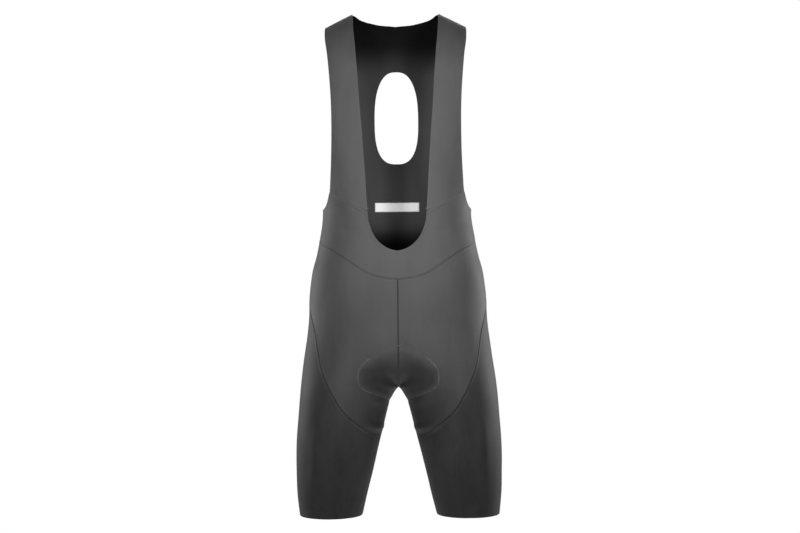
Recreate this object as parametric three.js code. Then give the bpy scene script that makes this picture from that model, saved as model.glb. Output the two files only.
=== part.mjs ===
// Cycling bib shorts, filled out as when worn, with every panel its own cloth wall.
// Millimetres, +Z up, front towards -Y, wearer's left towards +X. The origin is on the centre plane,
// level with the underside of the straps at the middle of each shoulder.
//
// All panels lie on one form. A place on it has an angle round a leg or the hip (0 at the inner leg,
// 90 at the front, 180 at the side seam, 270 at the back) and a height measured down the cloth.
import * as THREE from "three";

const CLOTH = 1.2; // wall of every knit panel
const SEAM_GAP = 0.3; // between the edges of two panels
const PAD_CLEAR = 2.2; // between the panels' inner faces and the seat pad
const LABEL_CLEAR = 0.4; // between the back bib's inner face and the label
const PAD_MIDDLE = 7; // thickness of the seat pad
const PAD_EDGE = 2;
const TIP = 0.12; // the share of the last step by which a panel's point stops short
const LABEL = { width: 84, tall: 17, height: -342, thick: 1 };

const WAIST = { side: -404, back: -432 }; // where the bib meets the shorts
const HIP_POINT = -508; // top of the leg panels
const FORK_TOP = -555; // the two legs begin to part here
const FORK_EASE = 1.6; // how gently they begin to
const CROTCH = -674;
const INSEAM_JOIN = -768; // the front panels end here on the inseam
const HEM = -912;
const ARMHOLE_FLOOR = -351;

const LEG_SPREAD = { slope: 0.245, round: 11 }; // how the inner legs part below the crotch
const WEB = 38; // rounding of the valley between the legs at the front and back
const SWELL = { front: 7, height: -622, across: 62, tall: 58 }; // the pad fills the front out

const SHOULDER = { across: 105, slope: 0.54, neck: 45, from: -170 };
const ARCH = { foot: -110, rise: 110, reach: 95 }; // how the cloth turns over the shoulder
ARCH.radius = (ARCH.rise + ARCH.reach) / 2;
const CREST = ARCH.foot + (ARCH.radius * Math.PI) / 2;
const SHOULDER_SEAM = 6; // the straps meet the back bib this far behind the crest
const STRAP_TOP = { inner: 80, outer: 130 }; // distances of a strap's edges from the centre plane there

const HOLE = { half: 41.7, tall: 82.5, height: -176.5, square: 2.7 }; // oval opening of the back bib
const RING_EASE = 1.25; // how the back bib's rings crowd towards it
// How far the lines between the rings turn level where they leave the foot of the armhole.
const LEAN = { most: 1.8, angle: [125, 165], height: [-330, -240] };

// Level sections of the form. outer is the half width, front and back are the depths from the side seams,
// and square is the power of the oval: 2 is an ellipse, more is squarer.
const SECTIONS = [
  { height: -110, outer: 174, front: 94, back: 98, square: 2.5 },
  { height: -165, outer: 170, front: 99, back: 104, square: 2.5 },
  { height: -225, outer: 160, front: 100, back: 100, square: 2.5 },
  { height: -290, outer: 146, front: 97, back: 87, square: 2.45 },
  { height: -351, outer: 136.5, front: 94, back: 79, square: 2.4 },
  { height: -405, outer: 143, front: 95, back: 85, square: 2.35 },
  { height: -434, outer: 149, front: 97, back: 94, square: 2.3 },
  { height: -464, outer: 157, front: 99, back: 103, square: 2.3 },
  { height: -509, outer: 162.5, front: 102, back: 114, square: 2.25 },
  { height: -553, outer: 164.4, front: 103, back: 120, square: 2.2 },
  { height: -613, outer: 172.4, front: 101, back: 118, square: 2.2 },
  { height: -674, outer: 180.6, front: 98, back: 106, square: 2.15 },
  { height: -741, outer: 186.5, front: 90, back: 93, square: 2.1 },
  { height: -786, outer: 189.2, front: 83, back: 87, square: 2.1 },
  { height: -830, outer: 189.6, front: 76, back: 82, square: 2.1 },
  { height: -870, outer: 188.8, front: 70, back: 78, square: 2.1 },
  { height: HEM, outer: 184.5, front: 64, back: 74, square: 2.1 },
];

// Seams and edges. across is the distance from the centre plane, seen from the front.
const STRAP_EDGES = [
  { height: CREST, ...STRAP_TOP },
  { height: -25, inner: 77, outer: 129 },
  { height: -70, inner: 73, outer: 124 },
  { height: -115, inner: 69, outer: 120 },
  { height: -160, inner: 66, outer: 117.5 },
  { height: -205, inner: 62.5, outer: 117 },
  { height: -250, inner: 59.5, outer: 118 },
  { height: -290, inner: 57, outer: 120 },
  { height: -318, inner: 55.5, outer: 122 },
  { height: -355, inner: 53, outer: 128 },
];
const STRAP_SEAM = { inner: -355, outer: -317 };
const NECKLINE = [
  { across: 0, height: -426 },
  { across: 13, height: -423 },
  { across: 25, height: -416.5 },
  { across: 37, height: -405 },
  { across: 46, height: -389 },
  { across: 51.5, height: -371 },
  { across: 53, height: -355 },
];
const ARMHOLE_FOOT = [
  { across: 122, height: -317 },
  { across: 127, height: -337 },
  { across: 132.5, height: -347 },
  { across: 136.5, height: ARMHOLE_FLOOR },
];
const YOKE_SEAM = [
  { across: 0, height: -477.5 },
  { across: 33, height: -473 },
  { across: 57, height: -464 },
  { across: 79, height: -450 },
  { across: 101, height: -435.5 },
  { across: 125, height: -419.5 },
  { across: 143, height: WAIST.side },
];
const BACK_WAIST = [
  { across: 0, height: WAIST.back },
  { across: 60, height: -428 },
  { across: 143, height: WAIST.side },
];
const LEG_SEAM = [
  { across: 163, height: HIP_POINT },
  { across: 153, height: -565 },
  { across: 139, height: -636 },
  { across: 118, height: -686 },
  { across: 89, height: -726 },
  { across: 47, height: -761 },
  { across: 34, height: INSEAM_JOIN },
];
const BACK_NECKLINE = [
  { across: 0, height: -24 },
  { across: 35, height: -15.5 },
  { across: 65, height: 8 },
  { across: STRAP_TOP.inner, height: CREST - SHOULDER_SEAM },
];
const BACK_ARMHOLE = [
  { across: STRAP_TOP.outer, height: CREST - SHOULDER_SEAM },
  { across: 122, height: -60 },
  { across: 112, height: -160 },
  { across: 112, height: -240 },
  { across: 116.5, height: -290 },
  { across: 121, height: -322 },
  { across: 128, height: -341 },
  { across: 136.5, height: ARMHOLE_FLOOR },
];
const PAD_FRONT = [
  { across: 0, height: -594 },
  { across: 42, height: -612 },
  { across: 72, height: -645 },
  { across: 60, height: -676 },
  { across: 0, height: -704 },
];
const PAD_BACK = [
  { across: 0, height: -548 },
  { across: 50, height: -558 },
  { across: 86, height: -602 },
  { across: 80, height: -650 },
  { across: 0, height: -704 },
];

// Steps of the grids. Panels that share a seam share its steps.
const STEPS = {
  neck: 5,
  strapAcross: 3,
  armholeFoot: 2,
  strapLong: 18,
  yoke: 5,
  sideSeam: 3,
  legSeam: 13,
  inseamTop: 4,
  legBelow: 6,
  legRound: 16,
  backNeck: 3,
  backArmhole: 10,
  backSide: 2,
  backRings: 6,
  padFront: 7,
  padBack: 9,
  padFan: 5,
  padAcross: 5,
  label: 4,
};
STEPS.front = STEPS.neck + STEPS.strapAcross + STEPS.armholeFoot;
STEPS.centre = STEPS.sideSeam + STEPS.legSeam - STEPS.inseamTop;

const radians = THREE.MathUtils.degToRad;
const { lerp, clamp, smoothstep } = THREE.MathUtils;
const NEAR = { angle: 0.4, height: 0.6 }; // half the steps that a normal is measured over
const signedPower = (value, power) => Math.sign(value) * Math.abs(value) ** power;

// Smooth value of one named column of a table whose heights fall from row to row.
function column(table, name, height) {
  const last = table.length - 1;
  if (height >= table[0].height) return table[0][name];
  if (height <= table[last].height) return table[last][name];
  const i = table.findIndex((row) => row.height <= height) - 1;
  const slope = (k) => {
    const above = table[Math.max(k - 1, 0)];
    const below = table[Math.min(k + 1, last)];
    return (below[name] - above[name]) / (below.height - above.height);
  };
  const span = table[i + 1].height - table[i].height;
  const t = (height - table[i].height) / span;
  const a = table[i][name];
  const b = table[i + 1][name];
  const bend = (slope(i) * (1 - t) ** 2 * t - slope(i + 1) * (1 - t) * t ** 2) * span;
  return a + (b - a) * t * t * (3 - 2 * t) + bend;
}

// The level section at a height: an oval round a centre, which the centre plane cuts above the crotch.
function section(height) {
  const outer = column(SECTIONS, "outer", height);
  const below = Math.max(CROTCH - height, 0);
  const inner = LEG_SPREAD.slope * below + LEG_SPREAD.round * (1 - Math.exp(-below / LEG_SPREAD.round));
  const fork = clamp((FORK_TOP - height) / (FORK_TOP - CROTCH), 0, 1) ** FORK_EASE;
  const half = (outer - inner) / (1 + fork);
  return {
    half,
    centre: outer - half,
    front: column(SECTIONS, "front", height),
    back: column(SECTIONS, "back", height),
    square: column(SECTIONS, "square", height),
    web: 4 * WEB * fork * (1 - fork),
  };
}

// The angle at which the section reaches a distance from the centre plane, on its front.
function angleAt(across, height) {
  const { half, centre, square } = section(height);
  const share = clamp((centre - across) / half, -1, 1);
  return THREE.MathUtils.radToDeg(Math.acos(signedPower(share, square / 2)));
}

// A point of the form on the wearer's left.
function formPoint(angle, height) {
  const { half, centre, front, back, square, web } = section(height);
  const turn = radians(angle);
  const x = centre - half * signedPower(Math.cos(turn), 2 / square);
  const soft = web > 0 ? x * (1 - Math.exp(-((x / web) ** 2))) : x;
  const share = Math.min(Math.abs(centre - soft) / half, 1);
  const deep = (1 - share ** square) ** (1 / square);
  const over = Math.max(height - ARCH.foot, 0) / ARCH.radius;
  const reach = Math.cos(over);
  const swell = Math.exp(-((x / SWELL.across) ** 2) - ((height - SWELL.height) / SWELL.tall) ** 2);
  const forward = Math.sin(turn) >= 0 === reach >= 0;
  const y = deep * Math.abs(reach) * (forward ? -(front + SWELL.front * swell) : back);
  const level = Math.min(height, ARCH.foot) + ARCH.rise * Math.sin(over);
  const beyond = Math.hypot(x, SHOULDER.neck) - Math.hypot(SHOULDER.across, SHOULDER.neck);
  const slope = SHOULDER.slope * smoothstep(height, SHOULDER.from, CREST);
  return new THREE.Vector3(x, y, level - beyond * slope);
}

// A place on the form with its outward normal. side is 1 on the wearer's left and -1 on the right.
function spot(angle, height, side = 1) {
  const point = formPoint(angle, height);
  const round = formPoint(angle + NEAR.angle, height).sub(formPoint(angle - NEAR.angle, height));
  const down = formPoint(angle, height - NEAR.height).sub(formPoint(angle, height + NEAR.height));
  const normal = down.cross(round);
  if (Math.abs(point.x) < 1e-3) {
    point.x = 0;
    normal.x = 0;
  }
  if (height === CROTCH && angle === 0) normal.set(0, 0, -1);
  normal.normalize();
  point.x *= side;
  normal.x *= side;
  return { point, normal };
}

// Places at equal distances along a path, which maps 0..1 to [angle, height].
function spaced(path, steps, fine = 240) {
  const places = Array.from({ length: fine + 1 }, (_, i) => path(i / fine));
  const points = places.map(([angle, height]) => formPoint(angle, height));
  const run = [0];
  for (let i = 1; i <= fine; i++) run.push(run[i - 1] + points[i].distanceTo(points[i - 1]));
  return Array.from({ length: steps + 1 }, (_, k) => {
    if (k === 0) return places[0];
    if (k === steps) return places[fine];
    const want = (run[fine] * k) / steps;
    const i = run.findIndex((length) => length >= want);
    const t = (want - run[i - 1]) / (run[i] - run[i - 1]);
    return [lerp(places[i - 1][0], places[i][0], t), lerp(places[i - 1][1], places[i][1], t)];
  });
}

// A smooth path through a table's rows, on the form's front.
function seamPath(rows) {
  const knots = rows.map(({ across, height }) => new THREE.Vector2(angleAt(across, height), height));
  const curve = new THREE.SplineCurve(knots);
  return (t) => curve.getPoint(t).toArray();
}

// Where the centre plane cuts the form, from a height down to the crotch. The angle is 90 above the fork.
const centrePath = (top, steps) =>
  spaced((t) => {
    const height = CROTCH + (top - CROTCH) * (1 - t) ** 2;
    return [angleAt(0, height), height];
  }, steps);

const between = (a, b, t) => [lerp(a[0], b[0], t), lerp(a[1], b[1], t)];

// A cloth wall through a grid of spots, closed at its edges. Offsets are measured outwards from the form.
// Free edges move back by half the seam gap. wrap joins the last column to the first.
function wall(grid, { outside = CLOTH / 2, inside = () => -CLOTH / 2, wrap = false, gap = SEAM_GAP } = {}) {
  const rows = grid.length;
  const columns = grid[0].length;
  const at = (r, c) => grid[r][(c + columns) % columns].point;
  const moved = grid.map((row) => row.map((place) => place.point.clone()));
  const pullIn = (r, c, dr, dc) => {
    const inward = at(r + dr, c + dc).clone().sub(at(r, c));
    const before = dr ? at(r, wrap ? c - 1 : Math.max(c - 1, 0)) : at(Math.max(r - 1, 0), c);
    const after = dr ? at(r, wrap ? c + 1 : Math.min(c + 1, columns - 1)) : at(Math.min(r + 1, rows - 1), c);
    const along = after.clone().sub(before).normalize();
    inward.addScaledVector(along, -inward.dot(along));
    if (inward.length() > gap) moved[r][c].addScaledVector(inward.normalize(), gap / 2);
  };
  for (let c = 0; c < columns; c++) {
    pullIn(0, c, 1, 0);
    pullIn(rows - 1, c, -1, 0);
  }
  for (let r = 0; r < rows && !wrap; r++) {
    pullIn(r, 0, 0, 1);
    pullIn(r, columns - 1, 0, -1);
  }
  const layer = (offset) =>
    grid.flatMap((row, r) =>
      row.map(({ normal }, c) => moved[r][c].clone().addScaledVector(normal, offset(r, c))),
    );
  const vertices = [...layer(() => outside), ...layer(inside)];
  const out = (r, c) => r * columns + ((c + columns) % columns);
  const inn = (r, c) => rows * columns + out(r, c);
  const faces = [];
  const quad = (a, b, c, d, crossed = false) =>
    crossed ? faces.push([a, b, d], [b, c, d]) : faces.push([a, b, c], [a, c, d]);
  const spans = wrap ? columns : columns - 1;
  for (let c = 0; c < spans; c++) {
    for (let r = 0; r < rows - 1; r++) {
      const crossed = at(r, c).distanceTo(at(r + 1, c + 1)) > at(r + 1, c).distanceTo(at(r, c + 1));
      quad(out(r, c), out(r + 1, c), out(r + 1, c + 1), out(r, c + 1), crossed);
      quad(inn(r, c), inn(r, c + 1), inn(r + 1, c + 1), inn(r + 1, c), crossed);
    }
    quad(out(0, c), out(0, c + 1), inn(0, c + 1), inn(0, c));
    quad(out(rows - 1, c), inn(rows - 1, c), inn(rows - 1, c + 1), out(rows - 1, c + 1));
  }
  for (let r = 0; r < rows - 1 && !wrap; r++) {
    quad(out(r, 0), inn(r, 0), inn(r + 1, 0), out(r + 1, 0));
    quad(out(r, spans), out(r + 1, spans), inn(r + 1, spans), inn(r, spans));
  }
  return closedGeometry(vertices, faces);
}

// A geometry whose faces point outwards, without the triangles that have shrunk to a line at a fan's point.
function closedGeometry(vertices, faces) {
  const same = (i, j) => vertices[i].distanceToSquared(vertices[j]) < 1e-6;
  const kept = faces.filter(([a, b, c]) => !same(a, b) && !same(b, c) && !same(c, a));
  const volume = kept.reduce(
    (sum, [a, b, c]) => sum + vertices[a].dot(vertices[b].clone().cross(vertices[c])),
    0,
  );
  const turned = volume < 0 ? kept.map(([a, b, c]) => [a, c, b]) : kept;
  const geometry = new THREE.BufferGeometry();
  geometry.setFromPoints(vertices);
  geometry.setIndex(turned.flat());
  geometry.computeVertexNormals();
  return geometry;
}

// The left half of a torso row, from the centre outwards, doubled to run from side to side.
const doubled = (half) => [
  ...half.slice(1).reverse().map(([angle, height]) => spot(angle, height, -1)),
  ...half.map(([angle, height]) => spot(angle, height)),
];
const toBack = ([angle, height]) => [360 - angle, height];

// Edges that two panels share.
const yokeSeam = spaced(seamPath(YOKE_SEAM), STEPS.front);
const backWaist = spaced(seamPath(BACK_WAIST), STEPS.front);
const sideSeam = spaced((t) => [180, lerp(WAIST.side, HIP_POINT, t)], STEPS.sideSeam);
const legSeam = spaced(seamPath(LEG_SEAM), STEPS.legSeam);
legSeam[0] = [180, HIP_POINT];
legSeam[STEPS.legSeam] = [0, INSEAM_JOIN];
const inseamTop = spaced((t) => [0, lerp(CROTCH, INSEAM_JOIN, t)], STEPS.inseamTop);
const strapSeam = spaced(
  (t) => {
    const height = lerp(STRAP_SEAM.inner, STRAP_SEAM.outer, t);
    const inner = column(STRAP_EDGES, "inner", STRAP_SEAM.inner);
    const outer = column(STRAP_EDGES, "outer", STRAP_SEAM.outer);
    return [angleAt(lerp(inner, outer, t), height), height];
  },
  STEPS.strapAcross,
);
const betweenSpots = (a, b, t) => ({
  point: a.point.clone().lerp(b.point, t),
  normal: a.normal.clone().lerp(b.normal, t).normalize(),
});

// A front or seat panel: rows run from the centre line and inseam out to the side and leg seams.
function lowerPanel(top, side, back) {
  const centreLine = [...centrePath(top[0][1], STEPS.centre), ...inseamTop.slice(1)];
  const outerLine = [...sideSeam, ...legSeam.slice(1)];
  const last = outerLine.length - 1;
  centreLine[last] = between(centreLine[last], centreLine[last - 1], TIP);
  outerLine[last] = between(outerLine[last], outerLine[last - 1], TIP);
  const corners = (c) => between(top[0], top[STEPS.front], c / STEPS.front);
  return centreLine.map((start, r) =>
    top.map((place, c) => {
      const [angle, height] = between(start, outerLine[r], c / STEPS.front);
      const fade = 1 - r / last;
      const bent = [
        angle + fade * (place[0] - corners(c)[0]),
        height + fade * (place[1] - corners(c)[1]),
      ];
      return spot(...(back ? toBack(bent) : bent), side);
    }),
  );
}

// A leg panel: rows run round the leg from the front seam to the back seam, and below that to the inseam.
function legPanel(side) {
  const below = spaced((t) => [0, lerp(INSEAM_JOIN, HEM, t)], STEPS.legBelow);
  const edge = [...legSeam, ...below.slice(1)];
  const last = edge.length - 1;
  const rows = edge.map(([angle, height], r) =>
    Array.from({ length: STEPS.legRound + 1 }, (_, c) => {
      const share = c / STEPS.legRound;
      const outerHeight = lerp(HIP_POINT, HEM, r / last);
      const lift = Math.sin(Math.PI * share) ** 2;
      return spot(lerp(angle, 360 - angle, share), lerp(height, outerHeight, lift), side);
    }),
  );
  rows[0] = rows[1].map((place, c) => betweenSpots(rows[0][c], place, TIP));
  return rows;
}

// The yoke: columns run from its top edge (neckline, strap seam, foot of the armhole) to its lower seam.
function yoke() {
  const foot = spaced(seamPath(ARMHOLE_FOOT), STEPS.armholeFoot);
  const top = [
    ...spaced(seamPath(NECKLINE), STEPS.neck).slice(0, -1),
    ...strapSeam,
    ...foot.slice(1),
  ];
  top[STEPS.front] = [180, ARMHOLE_FLOOR];
  return Array.from({ length: STEPS.yoke + 1 }, (_, r) =>
    doubled(top.map((place, c) => between(place, yokeSeam[c], r / STEPS.yoke))),
  );
}

// A strap, from its seam at the waist over the crest of the shoulder.
function strap(side) {
  return Array.from({ length: STEPS.strapLong + 1 }, (_, r) =>
    strapSeam.map((foot, c) => {
      const share = c / STEPS.strapAcross;
      const height = lerp(foot[1], CREST + SHOULDER_SEAM, r / STEPS.strapLong);
      const inner = column(STRAP_EDGES, "inner", height);
      const outer = column(STRAP_EDGES, "outer", height);
      const place = r === 0 ? foot : [angleAt(lerp(inner, outer, share), height), height];
      return spot(...place, side);
    }),
  );
}

// The back bib: rings from the oval opening to the outline, each starting at the top of the centre line.
function backBib() {
  const level = CREST - SHOULDER_SEAM;
  const seam = spaced(
    (t) => [angleAt(lerp(STRAP_TOP.inner, STRAP_TOP.outer, t), level), level],
    STEPS.strapAcross,
  );
  const runs = [
    { places: spaced(seamPath(BACK_NECKLINE), STEPS.backNeck), holeShare: 0.12 },
    { places: seam, holeShare: 0.27 },
    { places: spaced(seamPath(BACK_ARMHOLE), STEPS.backArmhole), holeShare: 0.7 },
    {
      places: spaced((t) => [180, lerp(ARMHOLE_FLOOR, WAIST.side, t)], STEPS.backSide),
      holeShare: 0.77,
    },
    { places: [...backWaist].reverse(), holeShare: 1 },
  ];
  const half = [];
  let from = 0;
  for (const { places, holeShare } of runs) {
    const steps = places.length - 1;
    places.slice(0, -1).forEach((place, i) => {
      half.push({ place, turn: Math.PI * lerp(from, holeShare, i / steps) });
    });
    from = holeShare;
  }
  half.push({ place: backWaist[0], turn: Math.PI });
  const ring = (share) =>
    half.map(({ place, turn }) => {
      const across = HOLE.half * signedPower(Math.sin(turn), 2 / HOLE.square);
      const height = HOLE.height + HOLE.tall * signedPower(Math.cos(turn), 2 / HOLE.square);
      const inner = [angleAt(Math.max(across, 0), height), height];
      const low = 1 - smoothstep(place[1], ...LEAN.height);
      const turned = smoothstep(place[0], ...LEAN.angle) * low;
      const fall = 1 - (1 - share) ** (1 + LEAN.most * turned);
      return toBack([lerp(inner[0], place[0], share), lerp(inner[1], place[1], fall)]);
    });
  return Array.from({ length: STEPS.backRings + 1 }, (_, r) => {
    const places = ring((r / STEPS.backRings) ** RING_EASE);
    const left = places.map(([angle, height]) => spot(angle, height));
    const right = places.slice(1, -1).reverse();
    return [...left, ...right.map(([angle, height]) => spot(angle, height, -1))];
  });
}

// The seat pad: rows run from side to side across the centre line, and fan out round the crotch.
function seatPad() {
  const half = (outline, along) => {
    const middle = centrePath(outline[0].height, along);
    const edge = spaced(seamPath(outline), along + STEPS.padFan);
    edge[along + STEPS.padFan] = [0, outline.at(-1).height];
    return edge.map((place, r) => {
      const start = middle[Math.min(r, along)];
      const shares = Array.from({ length: STEPS.padAcross + 1 }, (_, c) => c / STEPS.padAcross);
      return shares.map((share) => between(start, place, share));
    });
  };
  const front = half(PAD_FRONT, STEPS.padFront);
  const back = half(PAD_BACK, STEPS.padBack);
  const rows = [...front, ...back.slice(0, -1).reverse().map((row) => row.map(toBack))];
  return rows.map(doubled);
}

// The label: a flat strip inside the back bib.
function labelStrip() {
  return [-0.5, 0, 0.5].map((level) => {
    const height = LABEL.height + level * LABEL.tall;
    const half = Array.from({ length: STEPS.label + 1 }, (_, c) => {
      return toBack([angleAt((LABEL.width / 2) * (c / STEPS.label), height), height]);
    });
    return doubled(half);
  });
}

const garment = new THREE.Group();
garment.name = "bib_shorts";

const finish = (color, roughness) => new THREE.MeshStandardMaterial({ color, roughness, metalness: 0 });
const knit = finish(0x3c3c3d, 0.6);
const legKnit = finish(0x2c2c2d, 0.6);
const backKnit = finish(0x242425, 0.7);
const padCloth = finish(0x2f2f31, 0.9);
const labelCloth = finish(0xe6e6e4, 0.7);

function add(name, geometry, material) {
  const mesh = new THREE.Mesh(geometry, material);
  mesh.name = name;
  garment.add(mesh);
}

for (const [name, side] of [["left", 1], ["right", -1]]) {
  add(`strap_${name}`, wall(strap(side)), knit);
  add(`front_${name}`, wall(lowerPanel(yokeSeam, side, false)), knit);
  add(`seat_${name}`, wall(lowerPanel(backWaist, side, true)), legKnit);
  add(`leg_${name}`, wall(legPanel(side)), legKnit);
}
add("front_yoke", wall(yoke()), knit);
add("back_bib", wall(backBib(), { wrap: true }), backKnit);

const padTop = -CLOTH / 2 - PAD_CLEAR;
const pad = seatPad();
const padInside = (r, c) => {
  const rim = Math.min(r, pad.length - 1 - r, c, pad[0].length - 1 - c);
  return padTop - (rim ? PAD_MIDDLE : PAD_EDGE);
};
add("seat_pad", wall(pad, { outside: padTop, inside: padInside, gap: 0 }), padCloth);

const labelTop = -CLOTH / 2 - LABEL_CLEAR;
const labelFaces = { outside: labelTop, inside: () => labelTop - LABEL.thick, gap: 0 };
add("label", wall(labelStrip(), labelFaces), labelCloth);

export default garment;
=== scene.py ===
"""Men's cycling bib shorts, filled out as when worn.

Every panel is a thin knit shell on one body form. A place on the form has an angle round a leg or the
hip (0 at the inner leg, 90 at the front, 180 at the side seam, 270 at the back) and a height measured
down the cloth. Sizes are in millimetres until a mesh is written, which is in metres.
"""

import logging
import math
from dataclasses import dataclass, replace
from enum import Enum

import bmesh
import bpy
import numpy as np
from mathutils import Matrix, Vector
from mathutils.bvhtree import BVHTree


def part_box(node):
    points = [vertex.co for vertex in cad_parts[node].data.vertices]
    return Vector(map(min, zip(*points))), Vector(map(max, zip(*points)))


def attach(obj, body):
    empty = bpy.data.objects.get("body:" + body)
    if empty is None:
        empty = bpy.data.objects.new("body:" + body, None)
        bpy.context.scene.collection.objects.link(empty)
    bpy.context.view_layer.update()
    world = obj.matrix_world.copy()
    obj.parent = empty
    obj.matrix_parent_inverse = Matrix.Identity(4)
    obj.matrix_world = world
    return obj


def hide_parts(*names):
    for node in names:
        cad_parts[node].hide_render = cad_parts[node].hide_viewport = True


Array = np.ndarray
MM = 0.001
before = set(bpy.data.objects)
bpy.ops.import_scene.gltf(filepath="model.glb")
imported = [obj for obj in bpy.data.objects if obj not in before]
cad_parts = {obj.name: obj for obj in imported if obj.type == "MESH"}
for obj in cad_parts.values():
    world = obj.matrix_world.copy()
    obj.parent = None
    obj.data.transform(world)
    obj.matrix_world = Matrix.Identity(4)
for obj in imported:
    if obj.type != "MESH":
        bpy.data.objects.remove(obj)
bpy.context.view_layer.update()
log = logging.getLogger("bib_shorts")

# ---------------------------------------------------------------- sizes, in millimetres
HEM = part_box("leg_left")[0][2] / MM
WAIST_SIDE = -404.0
WAIST_BACK = -432.0
HIP_POINT = -508.0
FORK_TOP = -555.0
CROTCH = -674.0
INSEAM_JOIN = -768.0
ARMHOLE_FLOOR = -351.0

CLOTH = 0.9  # the knit's own thickness
SEAM_SHARE = 0.0008  # how far a panel's edge stands back from its seam, as a share of its width

LEG_SLOPE = 0.245  # how far the inner leg moves outwards for each step down
LEG_ROUND = 11.0
FORK_CURVE = 1.6
WEB = 38.0  # the rounding between the legs
SWELL_FRONT, SWELL_HEIGHT, SWELL_ACROSS, SWELL_TALL = 7.0, -622.0, 62.0, 58.0
SHOULDER_ACROSS, SHOULDER_SLOPE, SHOULDER_NECK, SHOULDER_FROM = 105.0, 0.54, 45.0, -170.0
ARCH_FOOT, ARCH_RISE, ARCH_REACH = -110.0, 110.0, 95.0
ARCH_RADIUS = (ARCH_RISE + ARCH_REACH) / 2
CREST = ARCH_FOOT + ARCH_RADIUS * math.pi / 2
SHOULDER_SEAM = 6.0  # from the crest back to the seam
STRAP_TOP = (80.0, 130.0)  # a strap's edges at the shoulder


class Edge(Enum):
    """What a panel's edge is."""

    SEAM = "sewn to a neighbour"
    FLAT_SEAM = "sewn to a neighbour, edge to edge"
    BONDED = "folded in and bonded flat"
    RAW = "cut and left raw"
    NONE = "no edge, or one that needs no shape"


@dataclass(frozen=True)
class Section:
    """One level section of the form: half width, depths to front and back, and the power of the oval."""

    height: float
    outer: float
    front: float
    back: float
    square: float


SECTIONS = (
    Section(-110, 174, 94, 98, 2.5),
    Section(-165, 170, 99, 104, 2.5),
    Section(-225, 160, 100, 100, 2.5),
    Section(-290, 146, 97, 87, 2.45),
    Section(-351, 136.5, 94, 79, 2.4),
    Section(-405, 143, 95, 85, 2.35),
    Section(-434, 149, 97, 94, 2.3),
    Section(-464, 157, 99, 103, 2.3),
    Section(-509, 162.5, 102, 114, 2.25),
    Section(-553, 164.4, 103, 120, 2.2),
    Section(-613, 172.4, 101, 118, 2.2),
    Section(-674, 180.6, 98, 106, 2.15),
    Section(-741, 186.5, 90, 93, 2.1),
    Section(-786, 189.2, 83, 87, 2.1),
    Section(-830, 189.6, 76, 82, 2.1),
    Section(-870, 188.8, 70, 78, 2.1),
    Section(-912, 184.5, 64, 74, 2.1),
)


def signed_power(value: Array, power: Array | float) -> Array:
    """A power that keeps the sign of its base."""
    return np.sign(value) * np.abs(value) ** power


def smooth(low: float, high: float, value: Array) -> Array:
    """The smooth step from 0 at low to 1 at high."""
    t = np.clip((value - low) / (high - low), 0, 1)
    return t * t * (3 - 2 * t)


def bell(value: Array, at: float | Array, width: float) -> Array:
    """A bell curve that is 1 at one value and falls away on both sides."""
    return np.exp(-(((value - at) / width) ** 2))


def hermite(heights: Array, values: Array, at: Array) -> Array:
    """Smooth values between the rows of a table whose heights fall from row to row.

    Args:
        heights: The rows' heights, falling.
        values: The rows' values.
        at: The heights to read.

    Returns:
        The values there, held at the table's ends.
    """
    before = np.r_[values[0], values[:-1]]
    after = np.r_[values[1:], values[-1]]
    slope = (after - before) / (np.r_[heights[1:], heights[-1]] - np.r_[heights[0], heights[:-1]])
    at = np.clip(at, heights[-1], heights[0])
    i = np.clip(np.searchsorted(-heights, -at, side="left") - 1, 0, len(heights) - 2)
    span = heights[i + 1] - heights[i]
    t = (at - heights[i]) / span
    bend = (slope[i] * (1 - t) ** 2 * t - slope[i + 1] * (1 - t) * t**2) * span
    return values[i] + (values[i + 1] - values[i]) * t * t * (3 - 2 * t) + bend


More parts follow.
